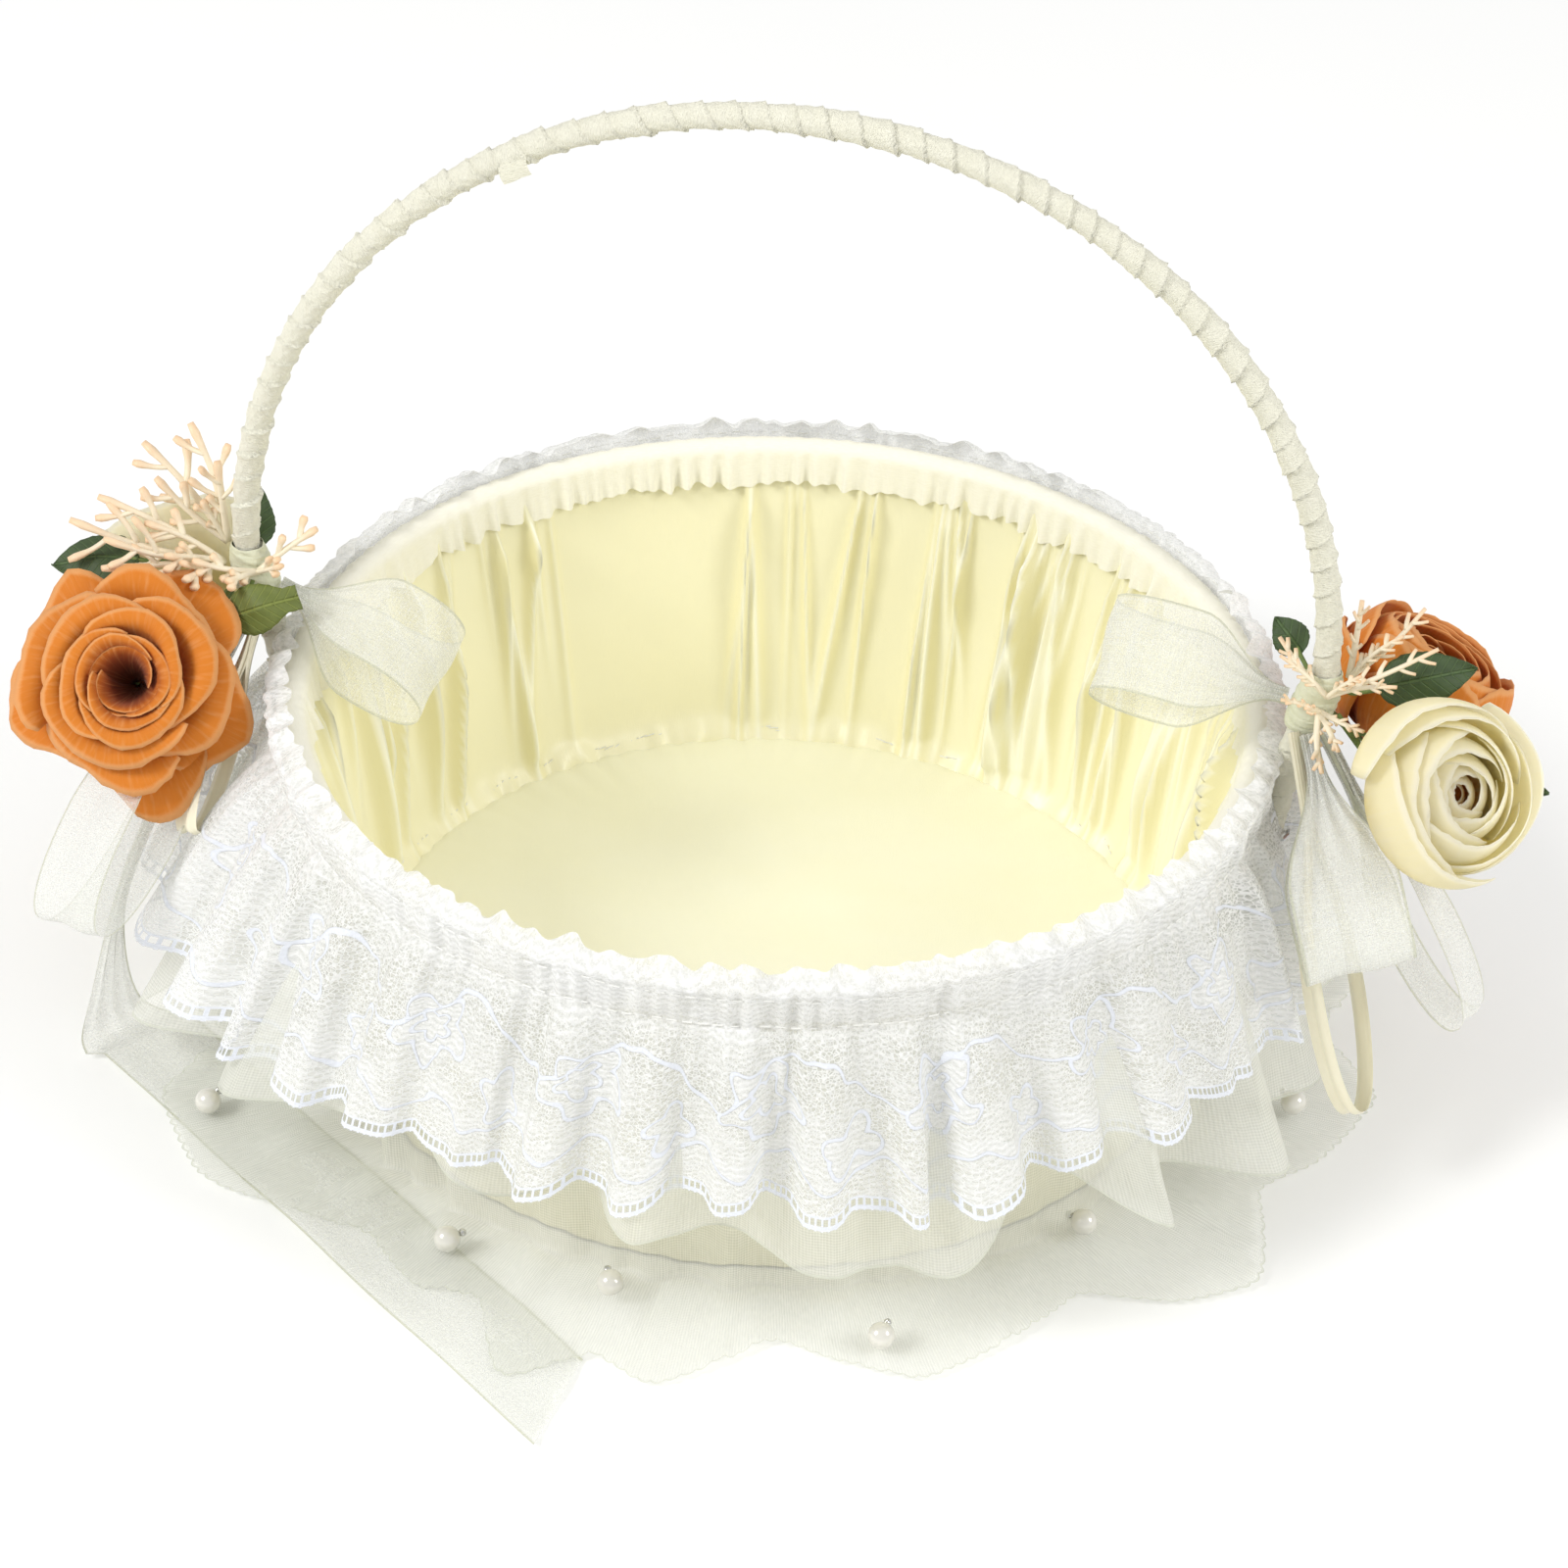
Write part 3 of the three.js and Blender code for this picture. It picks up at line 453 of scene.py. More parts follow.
def lining_folds(angle, drop):
    """How far the gathers stand off the wall, in millimetres. None starts in the smooth patch."""
    chance = np.random.default_rng(11)
    depth = np.zeros(np.broadcast_shapes(angle.shape, drop.shape))
    for _ in range(FOLD_COUNT):
        place = chance.uniform(0, TURN)
        if SMOOTH_PATCH[0] < place < SMOOTH_PATCH[1]:
            place = place * PATCH_SHRINK + PATCH_SHIFT
        lean = chance.normal(0, 0.05)
        width = chance.uniform(0.007, 0.018)
        size = chance.uniform(1.0, 5.4)
        middle_drop = chance.uniform(0.0, 0.75)
        reach = chance.uniform(0.25, 0.7)
        away = (angle - place - lean * drop + np.pi) % TURN - np.pi
        spread = width * (0.55 + 1.1 * drop)
        along = np.exp(-((drop - middle_drop) / reach) ** 2)
        depth += size * along * (1 + (away / spread) ** 2) ** -1.5
    return depth * np.clip(drop / RIM_GRIP, 0.12, 1)


angle = angles_round(LINING_COLUMNS)
drop = shares_down(LINING_ROWS)
top_height = wall_top + LINING_ABOVE_WALL
height = top_height + (LINING_FOOT_HEIGHT - top_height) * drop
folds = lining_folds(angle, drop)
rim_pinch = np.exp(-(drop / 0.07) ** 2) * 0.55 * waves(angle, 21, 60, 170, 12)
foot_pucker = np.exp(-((1 - drop) / 0.06) ** 2) * (0.5 * waves(angle, 22, 50, 130, 10) + 4.6)
radius = wall_radius(height) - LINING_FACE - folds * np.clip((1 - drop) * 9, 0, 1) - rim_pinch - foot_pucker
height = height + np.exp(-((1 - drop - 0.05) / 0.04) ** 2) * 0.7 * waves(angle, 23, 14, 60, 8)
lining_satin = satin_finish("lining_satin", (0.89, 0.84, 0.53), (0.98, 0.97, 0.82), 0.24, folded=True)
# The tone measure is a painted highlight along each gather's ridge and painted shade down its steep sides and
# in the valleys, and the lining satin takes its colour from it.
lining = round_sheet(
    "gathered_lining", angle, radius, height, 1000, 74, lining_satin, inward=True,
    tone=np.clip(0.30 + folds / 4.0 - 1.1 * np.abs(np.gradient(folds, axis=1)), 0, 1),
)
fit(lining, "satin", "satin_wall_lining")


# The floor pad's cover: ivory satin stretched over the foam disc and tucked under it, puffed a little
# between the edge and the middle, with short puckers all round where it was drawn in.

PAD_RADIUS = 94.4
PAD_TOP_HEIGHT = 10.2
PAD_FOOT_HEIGHT = 4.6
PAD_COLUMNS = 360
PAD_ROWS = 60
PAD_CENTRE = 100
ROLL_START = 0.965
angle = angles_round(PAD_COLUMNS)
share = shares_down(PAD_ROWS) ** 0.8
puff = 0.9 * (1 - share ** 6) + 0.35 * np.cos(angle * 2 + 1.0) * share * (1 - share)
edge_roll = np.clip((share - ROLL_START) / (1 - ROLL_START), 0, 1)
radial_pucker = 0.35 * waves(angle, 31, 40, 110, 9) * np.clip((share - 0.8) * 5, 0, 1)
dents = sum(
    size * np.exp(-((share * np.cos(angle) - x) ** 2 + (share * np.sin(angle) - y) ** 2) / width ** 2)
    for x, y, width, size in (
        (-0.35, 0.2, 0.25, -0.5), (0.3, -0.1, 0.22, 0.7), (0.1, 0.5, 0.3, -0.4),
        (0.45, -0.4, 0.2, 0.5), (-0.2, -0.5, 0.3, 0.4), (0.62, 0.35, 0.18, -0.5),
    )
)
top_points = round_points(
    angle, PAD_RADIUS * share - edge_roll * 0.1,
    PAD_TOP_HEIGHT + puff + dents * (1 - share ** 4) + radial_pucker - 1.6 * edge_roll ** 2,
)
side_height = np.linspace(PAD_TOP_HEIGHT - 1.9, PAD_FOOT_HEIGHT, 6)[:, None]
side_points = round_points(angle, PAD_RADIUS + 0.2 * radial_pucker[-1:], side_height)
under_share = np.linspace(0.99, 0.0, 12)[:, None]
under_points = round_points(angle, PAD_RADIUS * under_share, PAD_FOOT_HEIGHT - 0.1 + 0 * under_share)
points = np.concatenate([top_points, side_points, under_points])
wrapped = np.concatenate([angle, [[TURN]]], 1)
reach = np.linalg.norm(np.concatenate([points, points[:, :1]], 1)[..., :2], axis=-1)
pad_cloth = np.stack([reach * np.cos(wrapped), reach * np.sin(wrapped)], -1) + PAD_CENTRE
pad_satin = satin_finish("pad_satin", (0.95, 0.93, 0.68), (0.98, 0.97, 0.80), 0.30)
pad = sheet_mesh("pad_satin_top", points, pad_cloth, pad_satin, around=True)


def weld(piece, distance, outwards=False):
    """Joins the points that lie on each other, such as the ones at a pole, and can turn the faces out."""
    shell = bmesh.new()
    shell.from_mesh(piece.data)
    bmesh.ops.remove_doubles(shell, verts=shell.verts, dist=distance * MM)
    if outwards:
        bmesh.ops.recalc_face_normals(shell, faces=shell.faces)
    shell.to_mesh(piece.data)
    shell.free()


weld(pad, 0.001)
fit(pad, "satin", "floor_pad_cover")


# The rim band: a strip of white satin folded over the wire hoop and glued down on both sides. Its
# inner edge shows at the back as a gathered border with a wavy lower line.

BAND_OUTSIDE = 1.9
BAND_INSIDE = 4.9
BAND_DROP = 3.6
BAND_RISE = 2.0
BAND_COLUMNS = 900
band_bottom = wall_top - BAND_DROP
turn_height = wall_top + BAND_RISE
half_width = (BAND_OUTSIDE + BAND_INSIDE) / 2
angle = angles_round(BAND_COLUMNS)
leg_share = shares_down(8)
arc = np.linspace(0, np.pi, 12)[1:-1, None]
outer_height = band_bottom + (turn_height - band_bottom) * leg_share
inner_bottom = band_bottom - 1.4 + 0.9 * waves(angle, 42, 12, 48, 8)
inner_height = turn_height + (inner_bottom - turn_height) * leg_share
middle_radius = wall_radius(turn_height) + (BAND_OUTSIDE - BAND_INSIDE) / 2
outer_gather = 0.25 * waves(angle, 41, 70, 190, 10)
inner_gather = 1.0 * waves(angle, 43, 70, 190, 12)
band_points = np.concatenate([
    round_points(angle, wall_radius(outer_height) + BAND_OUTSIDE + outer_gather, outer_height),
    round_points(
        angle, middle_radius + half_width * np.cos(arc) + outer_gather * np.cos(arc / 2),
        turn_height + half_width * np.sin(arc) + 0 * angle,
    ),
    round_points(
        angle, wall_radius(inner_height) - BAND_INSIDE - inner_gather * (0.25 + leg_share), inner_height,
    ),
])


def white_satin_finish():
    finish = Finish("white_band_satin")
    across, down = finish.along_cloth()
    threads = finish.grain(across * 6.0, down * 0.5)
    slubs = finish.grain(across * 0.5, down * 3.0)
    colour = finish.blend(slubs, (0.88, 0.85, 0.70), (0.97, 0.95, 0.84))
    return finish.surface(
        colour, 0.42 + threads * 0.12, height=threads + slubs * 0.5, relief=0.08, Sheen_Weight=0.2,
    )


band = sheet_mesh(
    "folded_rim_band", band_points, cloth_places(len(band_points), BAND_COLUMNS, 760, 26),
    white_satin_finish(), around=True,
)
fit(band, "satin", "rim_band")


# The petal layer: the lowest skirt, a circle of sheer ivory organza cut into pinked petals. It is
# caught under the band, drops past the wall in soft folds and lies out over the floor.

def around_table(angle, places):
    """Smooth values round the basket from (degrees, value) pairs."""
    degrees = np.array([place for place, _ in places], float)
    values = np.array([value for _, value in places], float)
    turns = np.concatenate([degrees - 360, degrees, degrees + 360])
    looked_up = np.degrees(angle)
    looked_up = np.where(looked_up > 180, looked_up - 360, looked_up)
    return np.interp(looked_up, turns, np.tile(values, 3))


def softened(values, steps):
    """Rounds off the corners of a closed row of values."""
    window = np.hanning(2 * steps + 3)[1:-1]
    long_row = np.concatenate([values[..., -steps:], values, values[..., :steps]], -1)
    rows = np.atleast_2d(long_row)
    smooth = np.stack([np.convolve(row, window / window.sum(), "valid") for row in rows])
    return smooth.reshape(values.shape)


ORGANZA_PITCH = 0.72


def organza_finish(name, cover, tint, width):
    """Sheer plain weave of fine glassy thread: mostly gaps, with thicker threads here and there."""
    finish = Finish(name)
    across, down = finish.along_cloth()
    cloudy = finish.grain(across * 0.06, down * 0.06, 9.0)
    wander = finish.grain(across * 0.5, down * 0.05, 4.0, 1.0) * 5.0
    slubs = finish.grain(across * 2.6, down * 0.16, 6.0, 1.0)
    warp = (across * (TURN / ORGANZA_PITCH) + wander).sine() * 0.25 + slubs
    weft = (down * (TURN / ORGANZA_PITCH) + wander).sine() * 0.5 + 0.5
    threads = warp * 0.65 + weft * 0.35
    edge = down.step(width - 1.1, width - 0.4)
    alpha = (threads * 0.26 + cloudy * 0.16 + cover + 0.06).most(edge * 0.85)
    colour = finish.blend(threads, tint, (0.95, 0.95, 0.90))
    colour = finish.blend(edge * 0.7, colour, (0.66, 0.68, 0.58))
    return finish.surface(
        colour, 0.42 - threads * 0.12, alpha=alpha, height=threads, relief=0.08, glow=0.35,
        Sheen_Weight=0.3, Sheen_Roughness=0.3,
    )


PETAL_COLUMNS = 1440
PETAL_ROWS = 46
PETAL_TOP_HEIGHT = 74.0
PETAL_STAND = 1.6
PINKING_COUNT = 288
PINKING_DEPTH = 0.9
PETAL_FOOT_RADIUS = 107.5
LANDING = 0.55
PETAL_WIDTH = 112.0
PETAL_HEM = (
    (-176, 128), (-168, 139), (-160, 127), (-153, 146), (-140, 147), (-132, 136), (-124, 127), (-115, 134),
    (-109, 128), (-102.4, 151), (-96, 135), (-90, 143), (-79, 124), (-74, 131), (-66, 141), (-55, 133),
    (-47, 127), (-40, 143), (-33, 150), (-22, 131), (-15.6, 139), (-4, 146), (5, 130), (17, 145),
    (29, 133), (41, 128), (51, 143), (64, 146), (74, 128), (83, 140), (97, 147), (106, 130), (118, 146),
    (131, 129), (143, 144), (155, 131), (170, 143),
)
angle = angles_round(PETAL_COLUMNS)[0]
hem = softened(around_table(angle, PETAL_HEM), 9)
hem = hem - PINKING_DEPTH * (1 - np.abs(np.sin(PINKING_COUNT * angle / 2)))
angle = angle[None, :]
drop = shares_down(PETAL_ROWS)
fall = np.clip(drop / LANDING, 0, 1)
lie = np.clip((drop - LANDING) / (1 - LANDING), 0, 1)
start_radius = wall_radius(PETAL_TOP_HEIGHT) + PETAL_STAND
falling = start_radius + (PETAL_FOOT_RADIUS - start_radius) * fall ** 1.4
radius = falling + (hem[None, :] - PETAL_FOOT_RADIUS) * lie
folding = softened(waves(angle[0], 51, 9, 34, 9), 4)[None, :]
small_folding = waves(angle, 52, 26, 80, 8)
height = PETAL_TOP_HEIGHT * (1 - fall) ** 1.15 + 1.4
lift = 3.2 * np.clip(folding, 0, 3) * np.sin(np.pi * np.clip(lie + 0.25, 0, 1)) ** 1.5
height = height + np.where(drop > 0.5, lift * (1 - 0.4 * lie), 0) + 0.5 * lie * small_folding ** 2
radius = radius + (2.6 * folding + 1.1 * small_folding) * np.sin(np.pi * np.clip(drop * 1.1, 0, 1)) * fall
radius = np.maximum(radius, wall_radius(height) + PETAL_STAND - 0.3)
petal_organza = organza_finish("petal_organza", 0.22, (0.86, 0.88, 0.80), PETAL_WIDTH)
petals = round_sheet("pinked_petals", angle, radius, height, 900, PETAL_WIDTH, petal_organza)
fit(petals, "organza", "petal_ruffle")


# The organza skirt: a gathered circle of the same sheer cloth over the petals, in loose standing
# folds, with a plain cut hem that swings up and down between them.

ORGANZA_COLUMNS = 960
ORGANZA_ROWS = 44
ORGANZA_TOP_HEIGHT = 76.0
ORGANZA_STAND = 2.2
SKIRT_WIDTH = 62.0
ORGANZA_HEM_HEIGHTS = (
    (-180, 22), (-165, 9), (-150, 17), (-135, 26), (-120, 36), (-112, 35), (-105, 26), (-98, 34), (-93, 34),
    (-89.5, 36), (-82, 29), (-71, 25.6), (-63, 22), (-54.5, 44), (-49, 37), (-40, 22), (-25, 15), (-12, 12),
    (0, 18), (15, 24), (32, 14), (50, 27), (66, 17), (84, 26), (100, 14), (121, 25), (140, 15), (160, 24),
)
ORGANZA_HEM_RADII = (
    (-180, 137), (-165, 143), (-150, 137), (-132, 131), (-116, 124), (-98, 122), (-85, 130), (-50, 132),
    (-20, 131), (0, 130), (40, 131), (90, 133), (140, 134),
)
angle = angles_round(ORGANZA_COLUMNS)[0]
hem_height = softened(around_table(angle, ORGANZA_HEM_HEIGHTS), 7)[None, :]
hem_radius = softened(around_table(angle, ORGANZA_HEM_RADII), 16)[None, :]
angle = angle[None, :]
drop = shares_down(ORGANZA_ROWS)
top_radius = wall_radius(ORGANZA_TOP_HEIGHT) + ORGANZA_STAND
folding = softened(waves(angle[0], 61, 8, 27, 8), 3)[None, :]
gathers = waves(angle, 62, 40, 110, 8)
radius = top_radius + (hem_radius - top_radius) * drop ** 0.85
radius = radius + 6.4 * folding * drop ** 1.2 + 0.9 * gathers * (0.15 + drop) * (1.15 - drop)
height = ORGANZA_TOP_HEIGHT + (hem_height - ORGANZA_TOP_HEIGHT) * drop
radius = np.maximum(radius, wall_radius(height) + ORGANZA_STAND)
skirt_organza = organza_finish("skirt_organza", 0.22, (0.90, 0.91, 0.83), SKIRT_WIDTH)
organza = round_sheet("organza_skirt", angle, radius, height, 900, SKIRT_WIDTH, skirt_organza)
fit(organza, "organza", "organza_ruffle")


# The lace frill: white machine lace, pleated and sewn twice to the rim band, so that its top stands up
# as a puffed edge. Below the band it falls in boxy puffs to a scalloped, corded hem.

LACE_COLUMNS = 1260
LACE_ROWS = 70
LACE_LENGTH = 1000.0
LACE_WIDTH = 66.0
PUFF_COUNT = 41
LACE_STAND = 3.2
FRILL_HEIGHT = 91.2
BAND_HIGH_SEAM = 86.4
BAND_LOW_SEAM = 78.0
FRILL_WIDTH = 5.5
BAND_WIDTH = 8.5
LACE_HEM_HEIGHTS = (
    (-180, 42), (-168, 38), (-150, 31), (-140, 31), (-130, 33), (-122, 36.5), (-108, 37.5), (-94, 39.5),
    (-86, 45), (-80, 42), (-74, 40), (-63, 36), (-57.6, 43), (-53, 39), (-46, 44), (-34, 39), (-20, 36),
    (-10, 34), (2, 38), (20, 42), (45, 37), (70, 43), (100, 38), (130, 42), (155, 36),
)
LACE_HEM_RADII = (
    (-180, 139), (-167, 142), (-150, 137), (-135, 131), (-120, 128), (-34, 128), (-15, 126), (0, 123),
    (20, 123), (60, 126), (110, 128), (150, 133),
)


def uneven_turns(angle, count, seed, spread):
    """A phase that passes count whole turns round the basket, in steps of uneven width."""
    chance = np.random.default_rng(seed)
    widths = chance.uniform(1 - spread, 1 + spread, count)
    edges = np.concatenate([[0], np.cumsum(widths)]) / widths.sum() * TURN
    return np.interp(angle, edges, np.arange(count + 1) * TURN)


angle = angles_round(LACE_COLUMNS)[0]
hem_height = softened(around_table(angle, LACE_HEM_HEIGHTS), 9)[None, :]
hem_radius = softened(around_table(angle, LACE_HEM_RADII), 20)[None, :]
puff_turns = uneven_turns(angle, PUFF_COUNT, 71, 0.42)
boxy = softened(np.tanh(2.4 * np.sin(puff_turns)), 2)[None, :]
puff_size = (0.75 + 0.25 * waves(angle, 72, 5, 19, 4))[None, :]
angle = angle[None, :]
down = np.linspace(0, LACE_WIDTH, LACE_ROWS)[:, None]
frill = np.clip(1 - down / FRILL_WIDTH, 0, 1)
ruffle = np.clip((down - FRILL_WIDTH - BAND_WIDTH) / (LACE_WIDTH - FRILL_WIDTH - BAND_WIDTH), 0, 1)
band_share = np.clip((down - FRILL_WIDTH) / BAND_WIDTH, 0, 1)
top_line = FRILL_HEIGHT + 0.9 * waves(angle, 73, 20, 90, 9)
height = BAND_HIGH_SEAM + (top_line - BAND_HIGH_SEAM) * frill
height = np.where(frill > 0, height, BAND_HIGH_SEAM + (BAND_LOW_SEAM - BAND_HIGH_SEAM) * band_share)
height = height + (hem_height - BAND_LOW_SEAM) * ruffle
seam_radius = wall_radius(BAND_LOW_SEAM) + LACE_STAND
puffed_edge = 1.7 * np.sin(np.pi * np.clip(frill * 0.9, 0, 1)) - 5.4 * frill ** 2
radius = wall_radius(np.maximum(height, BAND_LOW_SEAM)) + LACE_STAND
radius = radius + puffed_edge + frill * 0.9 * waves(angle, 74, 30, 110, 9)
pleats = 0.65 * boxy + 0.35 * waves(angle, 75, 60, 170, 9) + 0.3
radius = radius + pleats * np.sin(np.pi * np.clip(band_share, 0.15, 0.85)) * (frill == 0)
outward = (hem_radius - seam_radius) * ruffle ** 0.8
fullness = 1 - np.exp(-ruffle / 0.07)
puff = (boxy + 0.9) * puff_size * fullness * (2.0 + 2.4 * ruffle)
sway = 1.6 * waves(angle, 76, 12, 40, 6) * ruffle ** 1.5
crimp = 0.35 * waves(angle, 77, 90, 200, 9) * (1 - ruffle)
radius = radius + outward + puff + sway + crimp
swing = 0.012 * waves(angle, 78, 10, 36, 6) * ruffle ** 1.3


LACE_REPEAT = 50.0
LACE_DRIFT = 9.0
FLOWER_HEIGHT = 33.0
RUNG_PITCH = 3.4
KNIT_ROW = 1.7
KNIT_STITCH = 3.6


def lace_finish():
    """Knitted lace: a fine net, closed flower shapes with raised cords, and a ladder along the hem."""
    finish = Finish("corded_lace")
    across, down = finish.along_cloth()
    x = across + (finish.grain(across * 0.07, down * 0.07, 0.0, 1.0) - 0.5) * LACE_DRIFT
    y = down + (finish.grain(across * 0.07, down * 0.07, 7.0, 1.0) - 0.5) * LACE_DRIFT

    net_cells = finish.node(
        "ShaderNodeTexVoronoi", {"feature": "DISTANCE_TO_EDGE"},
        {"Vector": finish.place_at(across / 1.3, down / 0.95), "Scale": 1.0, "Randomness": 0.7},
    )
    net = 1.0 - net_cells.step(0.05, 0.16)

    def flower(shift, centre, size, lobes):
        from_side = (x + shift) % LACE_REPEAT - LACE_REPEAT / 2
        from_top = y - centre
        distance = (from_side * from_side + from_top * from_top) ** 0.5
        turn = finish.maths("ARCTAN2", from_top, from_side)
        return distance - (turn * lobes).sine() * (size * 0.28) - size

    def cord(distance, width):
        return 1.0 - abs(distance).step(width * 0.5, width)

    big = flower(0.0, FLOWER_HEIGHT, 9.0, 5.0)
    small = flower(LACE_REPEAT / 2, 44.0, 5.5, 4.0)
    heart = flower(0.0, FLOWER_HEIGHT, 4.0, 5.0)
    stem = y - 27.0 - (x * (TURN / LACE_REPEAT)).sine() * 7.0
    stem_low = y - 50.0 + (x * (TURN / (LACE_REPEAT / 2))).sine() * 3.0
    closed = (1.0 - big.step(-0.3, 0.3)).most(1.0 - small.step(-0.3, 0.3))
    closed = closed.most(1.0 - abs(stem_low).step(2.0, 2.6))
    cords = cord(big, 0.9).most(cord(small, 0.8)).most(cord(heart, 0.7)).most(cord(stem, 0.8))
    cords = cords.most(cord(stem_low - 2.5, 0.7))

    scallop = abs((across * (TURN / LACE_REPEAT)).sine()) * 2.4 + (LACE_WIDTH - 3.0)
    past_hem = down - scallop
    ladder_zone = past_hem.step(-4.2, -3.6)
    rungs = abs((across * (TURN / RUNG_PITCH)).sine()).step(0.80, 0.92)
    ladder = cord(past_hem + 0.7, 0.9).most(cord(past_hem + 3.9, 0.9)).most(rungs)
    woven_top = 1.0 - down.step(FRILL_WIDTH + BAND_WIDTH, FRILL_WIDTH + BAND_WIDTH + 5.0)

    twill = finish.grain(across * 1.1 + down * 0.8, down * 2.4 - across * 0.4)
    rows = (y * (TURN / KNIT_ROW) + (x * (TURN / KNIT_STITCH)).sine() * 1.1).sine() * 0.5 + 0.5
    sparkle = twill.step(0.42, 0.62) * 0.4 + rows * 0.6
    zones = finish.grain(across * 0.045, down * 0.05, 21.0, 1.0).step(0.44, 0.56)
    film = woven_top * 0.26 + closed * 0.20 + sparkle * 0.30 + zones * 0.20 + 0.34
    inside = film.most(net * 0.9).most(cords)
    alpha = finish.node(
        "ShaderNodeMix", {"data_type": "FLOAT"}, {0: ladder_zone, 2: inside, 3: ladder}, 0,
    )
    alpha = alpha * (1.0 - past_hem.step(0.0, 0.35))
    raised = cords * 0.8 + net * 0.2 + sparkle * 0.3 + closed * 0.15
    plain = finish.blend(sparkle, (0.84, 0.85, 0.84), (0.98, 0.98, 0.98))
    colour = finish.blend(cords.most(ladder_zone * ladder), plain, (0.87, 0.90, 0.98))
    return finish.surface(
        colour, 0.55 - sparkle * 0.25, alpha=alpha, height=raised, relief=0.25, glow=0.22, Sheen_Weight=0.2,
    )


lace = round_sheet("lace_frill", angle + swing, radius, height, LACE_LENGTH, LACE_WIDTH, lace_finish())
fit(lace, "lace", "lace_ruffle")


# The handle: a cane hoop, wound from end to end with a strip of pale crepe paper ribbon. Each turn
# laps over the last, so the seams slant. Some turns lie a little thicker than others.

WRAP_RADIUS = 3.2
RIM_TOP_HEIGHT = 87.2
LEG_STAND = 5.7
SPRING_HEIGHT = 112.4
wrap_low, wrap_high = box_corners("handle_wrap")
arch_half_width = wrap_high[0] - WRAP_RADIUS
arch_rise = wrap_high[2] - WRAP_RADIUS - SPRING_HEIGHT


def leg_reach(height):
    """How far a leg's middle line stands from the basket's middle."""
    rise = SPRING_HEIGHT - RIM_TOP_HEIGHT
    share = np.clip((height - RIM_TOP_HEIGHT) / rise, 0, 1)
    start = wall_radius(RIM_TOP_HEIGHT) + LEG_STAND
    gain = arch_half_width - start
    lean = WALL_LEAN * rise
    above = start + lean * share + (3 * gain - 2 * lean) * share ** 2 + (lean - 2 * gain) * share ** 3
    return np.where(height <= RIM_TOP_HEIGHT, wall_radius(height) + LEG_STAND, above)


def handle_line(count):
    """Even points along the handle's middle line, from the left leg's foot to the right one's."""
    leg_heights = np.linspace(wrap_low[2], SPRING_HEIGHT, 200)
    turn = np.linspace(0, np.pi / 2, 300)[1:]
    reach = np.concatenate([leg_reach(leg_heights), arch_half_width * np.cos(turn)])
    heights = np.concatenate([leg_heights, SPRING_HEIGHT + arch_rise * np.sin(turn)])
    reach = np.concatenate([-reach, reach[-2::-1]])
    heights = np.concatenate([heights, heights[-2::-1]])
    lengths = np.concatenate([[0], np.cumsum(np.hypot(np.diff(reach), np.diff(heights)))])
    even = np.linspace(0, lengths[-1], count)
    return even, np.interp(even, lengths, reach), np.interp(even, lengths, heights)


WRAP_STEPS = 1500
WRAP_SIDES = 30
WRAP_PITCH = 6.6
WRAP_SURFACE = 2.92
CREPE_WIDTH = 20
even, line_x, line_z = handle_line(WRAP_STEPS)
slope = np.arctan2(np.gradient(line_z), np.gradient(line_x))
round_turn = np.linspace(0, TURN, WRAP_SIDES, endpoint=False)
along, turn = np.meshgrid(even, round_turn, indexing="ij")
unevenness = 1.1 * np.sin(along / 31.0 + 1.0) + 0.8 * np.sin(along / 11.7 + 2.0) + 0.5 * np.sin(along / 5.3)
turns_made = (along + unevenness) / WRAP_PITCH + turn / TURN
lap = turns_made % 1.0
turn_number = np.floor(turns_made).astype(int)
chance = np.random.default_rng(81)
turn_thickness = chance.uniform(-0.22, 0.22, turn_number.max() + 2)[turn_number]
edge = 0.62 * np.exp(-(1 - lap) / 0.16) - 0.28 * np.exp(-lap / 0.12)
crinkle = 0.10 * np.sin(turn * 7 + lap * 9 + turn_number * 1.7) + 0.07 * np.sin(turn * 12 - lap * 14 + along)
wrap_surface = WRAP_SURFACE + edge + turn_thickness + crinkle
side_x = -np.sin(slope)[:, None]
side_z = np.cos(slope)[:, None]
points = np.stack([
    line_x[:, None] + side_x * wrap_surface * np.cos(turn),
    wrap_surface * np.sin(turn),
    line_z[:, None] + side_z * wrap_surface * np.cos(turn),
], -1)


def crepe_finish():
    finish = Finish("crepe_ribbon")
    across, down = finish.along_cloth()
    crimps = finish.grain(across * 0.9 + down * 0.5, down * 3.2 - across * 0.7, 0.0, 3.0)
    fine = finish.grain(across * 3.0, down * 9.0)
    patches = finish.grain(across * 0.12, down * 0.2)
    colour = finish.blend(patches * 0.5 + crimps * 0.5, (0.84, 0.82, 0.64), (0.98, 0.96, 0.84))
    return finish.surface(
        colour, 0.55 + crimps * 0.15, height=crimps + fine * 0.3, relief=0.55, glow=0.08, Sheen_Weight=0.15,
    )


crepe = crepe_finish()
wrap_cloth = np.stack(np.meshgrid(np.linspace(0, CREPE_WIDTH, WRAP_SIDES + 1), even), -1)
wrap = sheet_mesh("crepe_winding", points, wrap_cloth, crepe, around=True)
fit(wrap, "crepe", "handle_wrap")


# The end of the winding: a short tab of the same crepe paper, left loose under the arch where one strip
# ends and the next begins.

